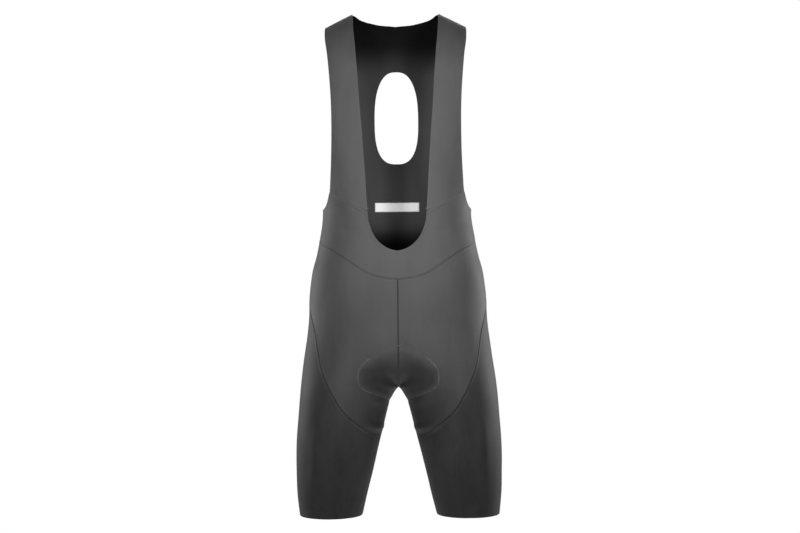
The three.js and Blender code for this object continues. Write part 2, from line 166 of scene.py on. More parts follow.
class Form:
    """The filled-out shape that every panel lies on."""

    ANGLE_STEP, HEIGHT_STEP = 0.4, 0.6  # half the spans over which the normals are measured

    def __init__(self, sections: tuple[Section, ...]) -> None:
        """Keeps the sections' columns as arrays.

        Args:
            sections: The level sections, from the top down.
        """
        self.heights = np.array([row.height for row in sections])
        self.columns = {
            name: np.array([getattr(row, name) for row in sections])
            for name in ("outer", "front", "back", "square")
        }

    def section(self, height: Array) -> dict[str, Array]:
        """The level sections at some heights.

        Args:
            height: Heights down the cloth.

        Returns:
            The oval's centre, half width, depths and power, and the width of the valley's rounding.
        """
        found = {name: hermite(self.heights, values, height) for name, values in self.columns.items()}
        below = np.maximum(CROTCH - height, 0)
        inner = LEG_SLOPE * below + LEG_ROUND * (1 - np.exp(-below / LEG_ROUND))
        fork = np.clip((FORK_TOP - height) / (FORK_TOP - CROTCH), 0, 1) ** FORK_CURVE
        found["half"] = (found["outer"] - inner) / (1 + fork)
        found["centre"] = found["outer"] - found["half"]
        found["web"] = 4 * WEB * fork * (1 - fork)
        return found

    def angle_at(self, across: Array, height: Array) -> Array:
        """The angle at which a section reaches a distance from the centre plane, on its front."""
        s = self.section(height)
        share = np.clip((s["centre"] - across) / s["half"], -1, 1)
        return np.degrees(np.arccos(signed_power(share, s["square"] / 2)))

    def point(self, angle: Array, height: Array) -> Array:
        """Points of the form on the wearer's left.

        Args:
            angle: Angles, in degrees.
            height: Heights down the cloth.

        Returns:
            The points, with x, y and z in the last axis.
        """
        s = self.section(height)
        turn = np.radians(angle)
        x = s["centre"] - s["half"] * signed_power(np.cos(turn), 2 / s["square"])
        soft = x * (1 - np.exp(-((x / np.maximum(s["web"], 1e-3)) ** 2)))
        share = np.minimum(np.abs(s["centre"] - soft) / s["half"], 1)
        deep = (1 - share ** s["square"]) ** (1 / s["square"])
        over = np.maximum(height - ARCH_FOOT, 0) / ARCH_RADIUS
        reach = np.cos(over)
        swell = bell(x, 0, SWELL_ACROSS) * bell(height, SWELL_HEIGHT, SWELL_TALL)
        forward = (np.sin(turn) >= 0) == (reach >= 0)
        depth = np.where(forward, -(s["front"] + SWELL_FRONT * swell), s["back"])
        level = np.minimum(height, ARCH_FOOT) + ARCH_RISE * np.sin(over)
        beyond = np.hypot(x, SHOULDER_NECK) - math.hypot(SHOULDER_ACROSS, SHOULDER_NECK)
        drop = beyond * SHOULDER_SLOPE * smooth(SHOULDER_FROM, CREST, height)
        return np.stack([x, deep * np.abs(reach) * depth, level - drop], axis=-1)

    def place(self, angle: Array, height: Array, side: Array | float) -> tuple[Array, Array]:
        """Points and outward normals.

        Args:
            angle: Angles, in degrees.
            height: Heights down the cloth.
            side: 1 on the wearer's left, -1 on the right.

        Returns:
            The points and the unit normals.
        """
        points = self.point(angle, height)
        turn, step = self.ANGLE_STEP, self.HEIGHT_STEP
        around = self.point(angle + turn, height) - self.point(angle - turn, height)
        down = self.point(angle, height - step) - self.point(angle, height + step)
        normals = np.cross(down, around)
        middle = np.abs(points[..., 0]) < 1e-3
        normals[..., 0] = np.where(middle, 0, normals[..., 0])
        fork = (np.abs(height - CROTCH) < 1e-6) & (np.abs(angle) < 1e-6)
        normals = np.where(fork[..., None], np.array([0.0, 0.0, -1.0]), normals)
        normals /= np.linalg.norm(normals, axis=-1, keepdims=True) + 1e-12
        points[..., 0] *= side
        normals[..., 0] *= side
        return points, normals


FORM = Form(SECTIONS)


class Path:
    """A line on the form's map, read by its share of the length."""

    def __init__(self, angle: Array, height: Array) -> None:
        """Measures the line.

        Args:
            angle: Angles of closely spaced places.
            height: Their heights.
        """
        self.angle = np.asarray(angle, float)
        self.height = np.asarray(height, float)
        points = FORM.point(self.angle, self.height)
        steps = np.linalg.norm(np.diff(points, axis=0), axis=-1)
        self.run = np.r_[0, np.cumsum(steps)]
        self.length = float(self.run[-1])

    def at(self, share: Array) -> tuple[Array, Array]:
        """The angle and height at shares of the length from 0 to 1."""
        want = np.asarray(share) * self.length
        return np.interp(want, self.run, self.angle), np.interp(want, self.run, self.height)

    def reversed(self) -> "Path":
        """The same line from its other end."""
        return Path(self.angle[::-1], self.height[::-1])

    def on_back(self) -> "Path":
        """The line's mirror image on the back of the form."""
        return Path(360 - self.angle, self.height)


def spline(rows: tuple[tuple[float, float], ...], fine: int = 400) -> Path:
    """A smooth line through rows of (distance from the centre plane, height), on the form's front.

    Args:
        rows: The places that the line passes.
        fine: How many steps the line is made of.

    Returns:
        The line.
    """
    height = np.array([row[1] for row in rows], float)
    knots = np.stack([FORM.angle_at(np.array([row[0] for row in rows], float), height), height], axis=-1)
    t = np.linspace(0, len(rows) - 1, fine + 1)
    i = np.minimum(t.astype(int), len(rows) - 2)
    w = (t - i)[:, None]
    p0, p1 = knots[np.maximum(i - 1, 0)], knots[i]
    p2, p3 = knots[i + 1], knots[np.minimum(i + 2, len(rows) - 1)]
    v0, v1 = (p2 - p0) / 2, (p3 - p1) / 2
    line = (2 * p1 - 2 * p2 + v0 + v1) * w**3 + (-3 * p1 + 3 * p2 - 2 * v0 - v1) * w**2 + v0 * w + p1
    return Path(line[:, 0], line[:, 1])


def straight(start: tuple[float, float], end: tuple[float, float], fine: int = 200) -> Path:
    """A line that is straight on the map, between two places of (angle, height)."""
    return Path(np.linspace(start[0], end[0], fine + 1), np.linspace(start[1], end[1], fine + 1))


def centre_line(top: float, fine: int = 400) -> Path:
    """Where the centre plane cuts the form's front, from a height down to the crotch."""
    height = CROTCH + (top - CROTCH) * (1 - np.linspace(0, 1, fine + 1)) ** 2
    return Path(FORM.angle_at(np.zeros(fine + 1), height), height)


# ---------------------------------------------------------------- the pattern's lines
STRAP_EDGES = np.array(
    [
        # height, inner edge, outer edge
        (CREST, *STRAP_TOP),
        (-25, 77, 129),
        (-70, 73, 124),
        (-115, 69, 120),
        (-160, 66, 117.5),
        (-205, 62.5, 117),
        (-250, 59.5, 118),
        (-290, 57, 120),
        (-318, 55.5, 122),
        (-355, 53, 128),
    ]
)
STRAP_SEAM_INNER, STRAP_SEAM_OUTER = -355.0, -317.0
NECKLINE = spline(((0, -426), (13, -423), (25, -416.5), (37, -405), (46, -389), (51.5, -371), (53, -355)))
ARMHOLE_FOOT = spline(((122, -317), (127, -337), (132.5, -347), (136.5, ARMHOLE_FLOOR)))
YOKE_SEAM = spline(
    ((0, -477.5), (33, -473), (57, -464), (79, -450), (101, -435.5), (125, -419.5), (143, WAIST_SIDE))
)
BACK_WAIST = spline(((0, WAIST_BACK), (60, -428), (143, WAIST_SIDE)))
LEG_SEAM = spline(
    ((163, HIP_POINT), (153, -565), (139, -636), (118, -686), (89, -726), (47, -761), (34, INSEAM_JOIN))
)
LEG_SEAM.angle[0], LEG_SEAM.angle[-1] = 180, 0
SIDE_SEAM = straight((180, WAIST_SIDE), (180, HIP_POINT))
INSEAM_TOP = straight((0, CROTCH), (0, INSEAM_JOIN))
INSEAM_LOW = straight((0, INSEAM_JOIN), (0, HEM))
CENTRE_FRONT = centre_line(-477.5)
CENTRE_BACK = centre_line(WAIST_BACK)
BACK_NECKLINE = spline(((0, -24), (35, -15.5), (65, 8), (STRAP_TOP[0], CREST - SHOULDER_SEAM)))
BACK_ARMHOLE = spline(
    (
        (STRAP_TOP[1], CREST - SHOULDER_SEAM),
        (122, -60),
        (112, -160),
        (112, -240),
        (116.5, -290),
        (121, -322),
        (128, -341),
        (136.5, ARMHOLE_FLOOR),
    )
)
BACK_SIDE = straight((180, ARMHOLE_FLOOR), (180, WAIST_SIDE))
HOLE_HALF, HOLE_TALL, HOLE_HEIGHT, HOLE_SQUARE = 41.7, 82.5, -176.5, 2.7
PAD_FRONT = ((0, -594), (42, -612), (72, -645), (60, -676), (0, -704))
PAD_BACK = ((0, -548), (50, -558), (86, -602), (80, -650), (0, -704))


def strap_edges(height: Array) -> tuple[Array, Array]:
    """The distances of a strap's inner and outer edges from the centre plane."""
    return (
        hermite(STRAP_EDGES[:, 0], STRAP_EDGES[:, 1], height),
        hermite(STRAP_EDGES[:, 0], STRAP_EDGES[:, 2], height),
    )


def strap_seam(share: Array) -> tuple[Array, Array]:
    """The angle and height along the seam that joins a strap to the yoke, from its inner end."""
    height = STRAP_SEAM_INNER + (STRAP_SEAM_OUTER - STRAP_SEAM_INNER) * share
    inner = strap_edges(np.array(STRAP_SEAM_INNER))[0]
    outer = strap_edges(np.array(STRAP_SEAM_OUTER))[1]
    return FORM.angle_at(inner + (outer - inner) * share, height), height


def crowded(count: int, low: float = 0.9, high: float = 0.9) -> Array:
    """Shares from 0 to 1 that crowd towards the ends.

    Args:
        count: How many steps.
        low: How strongly they crowd at 0, from 0 to below 1.
        high: The same at 1.

    Returns:
        The shares.
    """
    t = np.linspace(0, 1, count + 1)
    strength = low + (high - low) * t
    return t - strength * np.sin(2 * np.pi * t) / (2 * np.pi)


# ---------------------------------------------------------------- relief of the cloth, and its painted shade
@dataclass
class Relief:
    """How far the pad lifts the cloth, in millimetres, and the shade painted over the pad, beside the crotch
    and on the inner thighs.

    Attributes:
        lap: How far each face of the pad's outline reaches past the side line.
        step: How far the pad lifts the cloth.
        step_edge: Distances inside the outline over which it rises.
        trough: The depth and width of the trough at the stitched edge.
        beyond: How far outside the outline the trough still counts.
        face_painted_shade: How much shade is painted over the pad, on each face.
        painted_shade_edge: Distances inside the outline over which that painted shade grows.
        painted_shade_drop: Depths below the shoulders over which it grows.
        hollow_painted_shade: How much shade is painted in the hollows beside the crotch.
        hollow_place: Their distance from the centre plane and height.
        hollow_size: Their half width and half height.
        thigh_painted_shade: How much shade is painted on the inner thighs.
        thigh_drop: Depths below the shoulders over which that grows.
        thigh_across: Distances from the centre plane over which it fades.
    """

    lap: float = 8.0
    step: float = 1.5
    step_edge: tuple[float, float] = (-1.0, 9.0)
    trough: tuple[float, float] = (0.55, 1.8)
    beyond: float = 12.0
    # The rest is painted shade: over the pad, beside the crotch and on the inner thighs.
    face_painted_shade: tuple[float, float] = (1.0, 0.35)
    painted_shade_edge: tuple[float, float] = (-5.0, 13.0)
    painted_shade_drop: tuple[float, float] = (596.0, 652.0)
    hollow_painted_shade: float = 0.9
    hollow_place: tuple[float, float] = (24.0, -660.0)
    hollow_size: tuple[float, float] = (20.0, 22.0)
    thigh_painted_shade: float = 0.95
    thigh_drop: tuple[float, float] = (610.0, 730.0)
    thigh_across: tuple[float, float] = (30.0, 130.0)

    def __post_init__(self) -> None:
        """Lays out the pad's outlines as seen from the front and from the back."""
        self.outlines = []
        for rows in (PAD_FRONT, PAD_BACK):
            path = spline(rows)
            self.outlines.append(FORM.point(path.angle, path.height)[::8][:, [0, 2]])

    def faces(self, points: Array) -> tuple[tuple[Array, Array], ...]:
        """For the front and the back: which points lie there, and their distance inside the pad's outline."""
        y = points[..., 1]
        on = (y < self.lap, y > -self.lap)
        return tuple((here, self.pad_distance(points, line)) for here, line in zip(on, self.outlines))

    def pad_distance(self, points: Array, line: Array) -> Array:
        """Distances inside (positive) and outside an outline of the pad, as seen from its face."""
        closed = np.vstack([line, line[::-1] * [-1, 1]])
        flat = points[..., [0, 2]].reshape(-1, 2)
        start, end = closed, np.roll(closed, -1, axis=0)
        best = np.full(len(flat), 1e9)
        inside = np.zeros(len(flat), bool)
        for a, b in zip(start, end):
            along = b - a
            size = along @ along
            if size < 1e-9:
                continue
            t = np.clip(((flat - a) @ along) / size, 0, 1)
            best = np.minimum(best, np.linalg.norm(flat - a - t[:, None] * along, axis=1))
            cross = (a[1] > flat[:, 1]) != (b[1] > flat[:, 1])
            if abs(along[1]) > 1e-12:
                reach = a[0] + (flat[:, 1] - a[1]) * along[0] / along[1]
                inside ^= cross & (flat[:, 0] < reach)
        return (best * np.where(inside, 1, -1)).reshape(points.shape[:-1])

    def pad(self, points: Array) -> Array:
        """The step of the pad under the panels, with a soft trough at its stitched edge."""
        total = np.zeros(points.shape[:-1])
        for here, inside in self.faces(points):
            trough = self.trough[0] * bell(inside, 0, self.trough[1])
            step = self.step * smooth(*self.step_edge, inside) - trough
            total = np.where(here & (inside > -self.beyond), step, total)
        return total

    def lower_painted_shade(self, points: Array) -> Array:
        """Painted shade, from 0 to 1: over the pad, in the hollows beside the crotch and on the inner thighs.
        """
        total = np.zeros(points.shape[:-1])
        across, y, drop = np.abs(points[..., 0]), points[..., 1], -points[..., 2]
        # Shade painted over the pad, stronger on the front face.
        for (here, inside), most in zip(self.faces(points), self.face_painted_shade):
            spread = smooth(*self.painted_shade_edge, inside) * smooth(*self.painted_shade_drop, drop)
            total = np.maximum(total, here * most * spread)
        # Shade painted in the hollows beside the crotch, on the front.
        beside = bell(across, self.hollow_place[0], self.hollow_size[0])
        level = bell(points[..., 2], self.hollow_place[1], self.hollow_size[1])
        hollow = self.hollow_painted_shade * beside * level * (y < 0)
        # Shade painted on the inner thighs, growing downwards.
        thigh = self.thigh_painted_shade * smooth(*self.thigh_drop, drop) * (1 - smooth(*self.thigh_across, across))
        return np.maximum(total + hollow, thigh)


RELIEF = Relief()


@dataclass(frozen=True)
class Crease:
    """One soft fold: a trough or ridge along a short line, seen from the front or back.

    Attributes:
        start: Its first end, as distance from the centre plane (wearer's left positive) and height.
        end: Its other end.
        depth: How far it stands out, negative for a trough.
        width: Half its width.
        back: Whether it is on the back.
    """

    start: tuple[float, float]
    end: tuple[float, float]
    depth: float
    width: float
    back: bool = False

    def lift(self, points: Array) -> Array:
        """The crease's lift at some points of the form."""
        flat = points[..., [0, 2]]
        a, b = np.array(self.start), np.array(self.end)
        along = b - a
        length = np.linalg.norm(along)
        t = ((flat - a) @ along) / length**2
        off = np.abs((flat - a) @ np.array([-along[1], along[0]])) / length
        ends = smooth(-0.25, 0.3, t) * (1 - smooth(0.7, 1.25, t))
        facing = points[..., 1] > 0 if self.back else points[..., 1] < 0
        return facing * self.depth * ends * bell(off, 0, self.width)


CREASES = (
    # Drag lines from the crotch towards the hips.
    Crease((14, -652), (92, -628), 0.9, 7),
    Crease((20, -668), (108, -662), -0.8, 6),
    Crease((-16, -650), (-84, -622), 0.8, 7),
    Crease((-22, -670), (-104, -668), -0.9, 6),
    Crease((34, -700), (96, -716), 0.7, 6),
    Crease((-36, -698), (-90, -712), 0.8, 7),
    # Hollows beside the crotch, and the pad's rounded lower edges.
    Crease((12, -652), (42, -662), -3.4, 14),
    Crease((-11, -654), (-44, -660), -3.6, 14),
    Crease((30, -704), (58, -690), 2.4, 7),
    Crease((-29, -702), (-60, -688), 2.6, 7),
    Crease((56, -684), (72, -652), 1.0, 8),
    Crease((-58, -684), (-73, -650), 1.1, 8),
    # Beside the inseam's ends.
    Crease((30, -752), (66, -738), 2.4, 6),
    Crease((-30, -750), (-64, -738), 2.5, 6),
    Crease((32, -767), (76, -749), -2.2, 7),
    Crease((-32, -765), (-74, -749), -2.3, 7),
    # Down the thighs.
    Crease((116, -770), (122, -860), -5.0, 15),
    Crease((152, -740), (154, -850), 3.0, 12),
    Crease((-112, -790), (-116, -880), -4.8, 15),
    Crease((-148, -760), (-150, -860), 3.2, 12),
    # The front of the hips.
    Crease((60, -520), (128, -556), 0.6, 11),
    Crease((-64, -528), (-130, -560), 0.7, 11),
    # Above the hems.
    Crease((128, -912), (124, -866), -1.3, 4),
    Crease((90, -912), (92, -872), -1.2, 4),
    Crease((-94, -912), (-97, -862), -1.3, 4),
    Crease((-132, -912), (-130, -870), 1.2, 5),
    Crease((-150, -908), (-147, -874), -1.1, 4),
    # Under the seat and behind the thighs.
    Crease((30, -690), (128, -668), -1.6, 9, True),
    Crease((-32, -692), (-132, -672), -1.5, 9, True),
    Crease((36, -706), (118, -694), 1.0, 8, True),
    Crease((-40, -710), (-112, -696), 1.1, 8, True),
    Crease((60, -780), (150, -772), -0.8, 9, True),
    Crease((-70, -790), (-156, -776), -0.9, 9, True),
    Crease((96, -905), (100, -872), -0.7, 4, True),
    Crease((-110, -905), (-108, -866), -0.7, 4, True),
    # The small of the back.
    Crease((-70, -392), (70, -388), -1.2, 10, True),
    Crease((-58, -372), (84, -366), 0.8, 8, True),
    # Each side of the yoke.
    Crease((70, -392), (126, -372), -0.7, 7),
    Crease((-66, -396), (-124, -378), -0.6, 7),
)


WAVES = 7
WAVE_LENGTHS = (38, 120)
WAVE_RISE = 0.09 / 80  # height for each millimetre of length


def waviness(points: Array, seed: int) -> Array:
    """A faint unevenness of hand-smoothed cloth, made of a few slow waves."""
    draw = np.random.default_rng(seed)
    total = np.zeros(points.shape[:-1])
    for _ in range(WAVES):
        direction = draw.normal(size=3)
        direction /= np.linalg.norm(direction)
        length = draw.uniform(*WAVE_LENGTHS)
        phase = draw.uniform(0, 2 * np.pi)
        total += WAVE_RISE * length * np.sin(points @ direction * 2 * np.pi / length + phase)
    return total


@dataclass(frozen=True)
class Ridge:
    """A ridge, or a trough where its height is negative, that runs beside an edge.

    Attributes:
        height: How far it stands out.
        at: Its distance from the edge.
        width: Half its width.
    """

    height: float
    at: float
    width: float

    def lift(self, distance: Array) -> Array:
        """Its lift at some distances from the edge."""
        return self.height * bell(distance, self.at, self.width)


EDGE_RIDGES = {
    Edge.SEAM: (Ridge(0.3, 2.4, 1.6), Ridge(-0.5, 0, 0.8)),
    Edge.FLAT_SEAM: (Ridge(0.12, 2.4, 2.4), Ridge(-0.25, 0, 1.6)),
    Edge.BONDED: (Ridge(-0.12, 6.3, 0.6),),
    Edge.RAW: (Ridge(-0.15, 0, 1.2),),
    Edge.NONE: (),
}
# Painted shade along sewn edges, where the seam groove lies: each Ridge gives the shade's strength, not a
# height.
PAINTED_SEAM_SHADE = {Edge.SEAM: Ridge(1.0, 0, 1.4), Edge.FLAT_SEAM: Ridge(0.5, 0, 2.4)}
PUCKER = Ridge(0.1, 4.5, 3.5)
PUCKER_LENGTH = 6.5 * 1.7
PUCKER_DRIFT = 31.0
FOLD, FOLD_EDGE = 0.28, (5.2, 6.2)  # a bonded edge's extra thickness, and where it ends
NARROW = 14.0  # where a panel is narrower than this, its seams' shapes fade


def seam_lift(distance: Array, run: Array, kind: Edge, seed: int) -> Array:
    """The shape of the cloth beside an edge.

    Args:
        distance: Distances from the edge.
        run: Distances along it.
        kind: What the edge is.
        seed: Picks the unevenness of the pucker.

    Returns:
        The lift.
    """
    total = np.zeros_like(distance)
    for ridge in EDGE_RIDGES[kind]:
        total = total + ridge.lift(distance)
    if kind is Edge.SEAM:
        wave = np.sin(2 * np.pi * run / PUCKER_LENGTH + 2 * np.sin(run / PUCKER_DRIFT + seed) + seed)
        total = total + wave * PUCKER.lift(distance)
    if kind is Edge.BONDED:
        total = total + FOLD * (1 - smooth(*FOLD_EDGE, distance))
    return total


# ---------------------------------------------------------------- finishes
@dataclass(frozen=True)
class KnitFinish:
    """A knit cloth.

    Attributes:
        slot: The name of its material.
        colour: The yarn's colour.
        deep: The colour in the hollows between the wales.
        roughness: The surface's roughness.
        sheen: How much the brushed face catches light at a glancing angle.
        wale: Width of one column of stitches.
        relief: Height of the wales, as bump.
        mottle: How much the colour varies over the cloth.
        shade_and_border_strength: How much the seam attribute darkens it: painted shade in seam grooves and
            wherever a panel paints shade, and a label's woven border.
        specular: The strength of its plain gloss.
    """

    slot: str
    colour: tuple[float, float, float]
    deep: tuple[float, float, float]
    roughness: float = 0.62
    sheen: float = 0.1
    wale: float = 0.0008
    relief: float = 0.35
    mottle: float = 0.12
    shade_and_border_strength: float = 0.5
    specular: float = 0.35


def new_group(name: str, inputs: dict[str, float], outputs: dict[str, str]) -> bpy.types.NodeTree:
    """An empty shader node group.

    Args:
        name: The group's name.
        inputs: Names and defaults of its number inputs.
        outputs: Names and socket types of its outputs.

    Returns:
        The group, with its input and output nodes made.
    """
    group = bpy.data.node_groups.new(name, "ShaderNodeTree")
    group.interface.new_socket("Vector", in_out="INPUT", socket_type="NodeSocketVector")
    for label, default in inputs.items():
        socket = group.interface.new_socket(label, in_out="INPUT", socket_type="NodeSocketFloat")
        socket.default_value = default
    for label, kind in outputs.items():
        group.interface.new_socket(label, in_out="OUTPUT", socket_type=kind)
    group.nodes.new("NodeGroupInput").name = "in"
    group.nodes.new("NodeGroupOutput").name = "out"
    return group


def add_node(
    tree: bpy.types.NodeTree, kind: str, inputs: dict[str | int, object], **settings: object
) -> bpy.types.Node:
    """Adds a node, and links or sets its inputs.

    Args:
        tree: The tree it goes in.
        kind: Its type's name after the word ShaderNode.
        inputs: Sockets or plain values, by the input's name or number.
        **settings: Its properties.

    Returns:
        The node.
    """
    node = tree.nodes.new(f"ShaderNode{kind}")
    for name, value in settings.items():
        setattr(node, name, value)
    for key, value in inputs.items():
        if isinstance(value, bpy.types.NodeSocket):
            tree.links.new(value, node.inputs[key])
        else:
            node.inputs[key].default_value = value
    return node


def math_node(tree: bpy.types.NodeTree, kind: str, *values: object) -> bpy.types.NodeSocket:
    """The output of a Math node whose inputs are some sockets or numbers."""
    return add_node(tree, "Math", dict(enumerate(values)), operation=kind).outputs[0]


COURSE = 0.7  # height of a row of stitches for each width of a column
LEAN = 0.16  # how far the rows lean along the columns
COLUMN_SHARE, ROW_SHARE = 0.32, 0.18


def knit_group() -> bpy.types.NodeTree:
    """The stitch columns and rows of a fine warp knit, from a UV map in metres."""
    group = new_group(
        "knit_face", {"Wale": 0.0008}, {"Height": "NodeSocketFloat", "Hollow": "NodeSocketFloat"}
    )
    start, end = group.nodes["in"], group.nodes["out"]
    split = add_node(group, "SeparateXYZ", {0: start.outputs["Vector"]})
    wale = start.outputs["Wale"]
    turns = math_node(group, "DIVIDE", split.outputs["X"], wale)
    columns = math_node(group, "SINE", math_node(group, "MULTIPLY", turns, 2 * math.pi))
    course = math_node(group, "DIVIDE", split.outputs["Y"], math_node(group, "MULTIPLY", wale, COURSE))
    lean = math_node(group, "ADD", course, math_node(group, "MULTIPLY", columns, LEAN))
    rows = math_node(group, "SINE", math_node(group, "MULTIPLY", lean, 2 * math.pi))
    height = math_node(group, "ADD", weighted_sum(group, (columns, rows), (COLUMN_SHARE, ROW_SHARE)), 0.5)
    group.links.new(height, end.inputs["Height"])
    group.links.new(math_node(group, "SUBTRACT", 1.0, height), end.inputs["Hollow"])
    return group


def weighted_sum(
    tree: bpy.types.NodeTree, pair: tuple[bpy.types.NodeSocket, ...], shares: tuple[float, float]
) -> bpy.types.NodeSocket:
    """The sum of two sockets, each times its share."""
    return math_node(tree, "ADD", *(math_node(tree, "MULTIPLY", *both) for both in zip(pair, shares)))


MOTTLE_STRETCH = (1.0, 1.0, 0.35)  # the patches are longer down the cloth
MOTTLE_LAYERS = ((1.0, 3.0), (7.0, 4.0))  # each noise's fineness and detail
MOTTLE_SHARES = (0.82, 0.18)


def mottle_group() -> bpy.types.NodeTree:
    """Slow and fine unevenness of a dyed cloth, from object coordinates, round 0.5."""
    group = new_group("dye_mottle", {"Size": 0.038}, {"Value": "NodeSocketFloat"})
    start, end = group.nodes["in"], group.nodes["out"]
    stretched = add_node(
        group, "VectorMath", {0: start.outputs["Vector"], 1: MOTTLE_STRETCH}, operation="MULTIPLY"
    )
    layers = []
    for fineness, detail in MOTTLE_LAYERS:
        scale = math_node(group, "DIVIDE", fineness, start.outputs["Size"])
        inputs = {"Vector": stretched.outputs[0], "Scale": scale, "Detail": detail, "Roughness": 0.6}
        layers.append(add_node(group, "TexNoise", inputs).outputs[0])
    group.links.new(weighted_sum(group, tuple(layers), MOTTLE_SHARES), end.inputs["Value"])
    return group


class Wardrobe:
    """Makes each finish's material once."""

    SHEEN_ROUGHNESS = 0.45
    HOLLOW_POWER = 1.5  # how sharply the colour deepens between the wales
    ROUGHNESS_SPREAD = 0.16
    STITCH_DEPTH = 0.00015
    THREAD_MOTTLE = 0.004

    def __init__(self) -> None:
        """Builds the shared effects."""
        self.knit = knit_group()
        self.mottle = mottle_group()
        self.made: dict[str, bpy.types.Material] = {}

    def start(self, name: str) -> tuple[bpy.types.NodeTree, bpy.types.Node, bpy.types.Node]:
        """Starts a material, and gives its tree, its shader and its texture coordinates."""
        material = bpy.data.materials.new(name)
        material.use_nodes = True
        self.made[name] = material
        tree = material.node_tree
        return tree, tree.nodes["Principled BSDF"], add_node(tree, "TexCoord", {})

    def knit_material(self, finish: KnitFinish, name: str) -> bpy.types.Material:
        """A knit material.

        Args:
            finish: Its colours and surface.
            name: The material's name.

        Returns:
            The material.
        """
        if name in self.made:
            return self.made[name]
        tree, shader, coordinates = self.start(name)
        shader.inputs["Specular IOR Level"].default_value = finish.specular
        shader.inputs["Sheen Weight"].default_value = finish.sheen
        shader.inputs["Sheen Roughness"].default_value = self.SHEEN_ROUGHNESS
        inputs = {"Vector": coordinates.outputs["UV"], "Wale": finish.wale}
        knit = add_node(tree, "Group", inputs, node_tree=self.knit)
        inputs = {"Vector": coordinates.outputs["Object"]}
        mottle = add_node(tree, "Group", inputs, node_tree=self.mottle).outputs["Value"]

        hollow = math_node(tree, "POWER", knit.outputs["Hollow"], self.HOLLOW_POWER)
        yarn = mixed(tree, finish.colour, finish.deep, hollow)
        shade = math_node(tree, "MULTIPLY_ADD", mottle, finish.mottle, 1 - finish.mottle / 2)
        # The seam attribute holds painted shade on the panels (seam grooves, over the pad, beside the crotch,
        # on the inner thighs, inside the back bib) and the woven border on the label.
        seam = add_node(tree, "Attribute", {}, attribute_name="seam")
        darker = math_node(tree, "MULTIPLY_ADD", seam.outputs["Fac"], -finish.shade_and_border_strength, 1.0)
        inputs = {0: yarn, "Scale": math_node(tree, "MULTIPLY", shade, darker)}
        colour = add_node(tree, "VectorMath", inputs, operation="SCALE")
        tree.links.new(colour.outputs[0], shader.inputs["Base Color"])

        spread = self.ROUGHNESS_SPREAD
        rough = math_node(tree, "MULTIPLY_ADD", mottle, spread, finish.roughness - spread / 2)
        tree.links.new(rough, shader.inputs["Roughness"])
        inputs = {"Strength": finish.relief, "Distance": self.STITCH_DEPTH, "Height": knit.outputs["Height"]}
        tree.links.new(add_node(tree, "Bump", inputs).outputs[0], shader.inputs["Normal"])
        return self.made[name]

    def thread_material(self, thread: "Thread") -> bpy.types.Material:
        """A twisted thread's material."""
        if thread.name in self.made:
            return self.made[thread.name]
        tree, shader, coordinates = self.start(thread.name)
        shader.inputs["Roughness"].default_value = thread.roughness
        shader.inputs["Sheen Weight"].default_value = thread.sheen
        inputs = {"Vector": coordinates.outputs["Object"], "Size": self.THREAD_MOTTLE}
        mottle = add_node(tree, "Group", inputs, node_tree=self.mottle).outputs["Value"]
        dark, light = (tuple(share * c for c in thread.colour) for share in thread.spread)
        tree.links.new(mixed(tree, dark, light, mottle), shader.inputs["Base Color"])
        return self.made[thread.name]


def mixed(
    tree: bpy.types.NodeTree,
    first: tuple[float, ...],
    second: tuple[float, ...],
    factor: bpy.types.NodeSocket,
) -> bpy.types.NodeSocket:
    """A colour that runs from one to another with a factor."""
    inputs = {"A": (*first, 1), "B": (*second, 1), "Factor": factor}
    return add_node(tree, "Mix", inputs, data_type="RGBA").outputs["Result"]


@dataclass(frozen=True)
class Thread:
    """A sewing thread.

    Attributes:
        name: Its name.
        colour: Its colour.
        spread: Its darkest and lightest shades, as shares of the colour.
        roughness: The surface's roughness.
        sheen: How much its fibres catch light at a glancing angle.
    """

    name: str
    colour: tuple[float, float, float]
    spread: tuple[float, float] = (0.7, 1.3)
    roughness: float = 0.5
    sheen: float = 0.1


SEAM_THREAD = Thread("seam_thread", (0.13, 0.13, 0.132))
PAD_THREAD = Thread("pad_thread", (0.26, 0.26, 0.262))
FRONT_KNIT = KnitFinish(
    "front_knit", (0.068, 0.068, 0.070), (0.038, 0.038, 0.039), mottle=0.8, shade_and_border_strength=0.6
)
# Darker than the front knit, in part as painted shade on the legs.
LEG_KNIT = KnitFinish(
    "leg_knit", (0.046, 0.046, 0.048), (0.025, 0.025, 0.026), mottle=1.5, specular=0.25
)
BACK_KNIT = KnitFinish(
    "back_knit", (0.040, 0.040, 0.041), (0.022, 0.022, 0.023), wale=0.0011, relief=0.5, shade_and_border_strength=0.0
)
# The back bib's inner face: a lit and shaded copy of the back knit, lighter and less glossy, on which the
# bib's painted shade darkens the top and the waist almost fully.
BACK_INSIDE_LIT_AND_SHADED = replace(
    BACK_KNIT,
    colour=(0.058, 0.058, 0.059),
    deep=(0.034, 0.034, 0.035),
    shade_and_border_strength=0.97,
    sheen=0.0,
    specular=0.08,
)
PAD_CLOTH = KnitFinish("pad_cloth", (0.05, 0.05, 0.053), (0.03, 0.03, 0.032), roughness=0.9, sheen=0.3)
LABEL_CLOTH = KnitFinish(
    "label_cloth", (0.97, 0.97, 0.96), (0.86, 0.86, 0.85), wale=0.0005, sheen=0.02, mottle=0.05
)


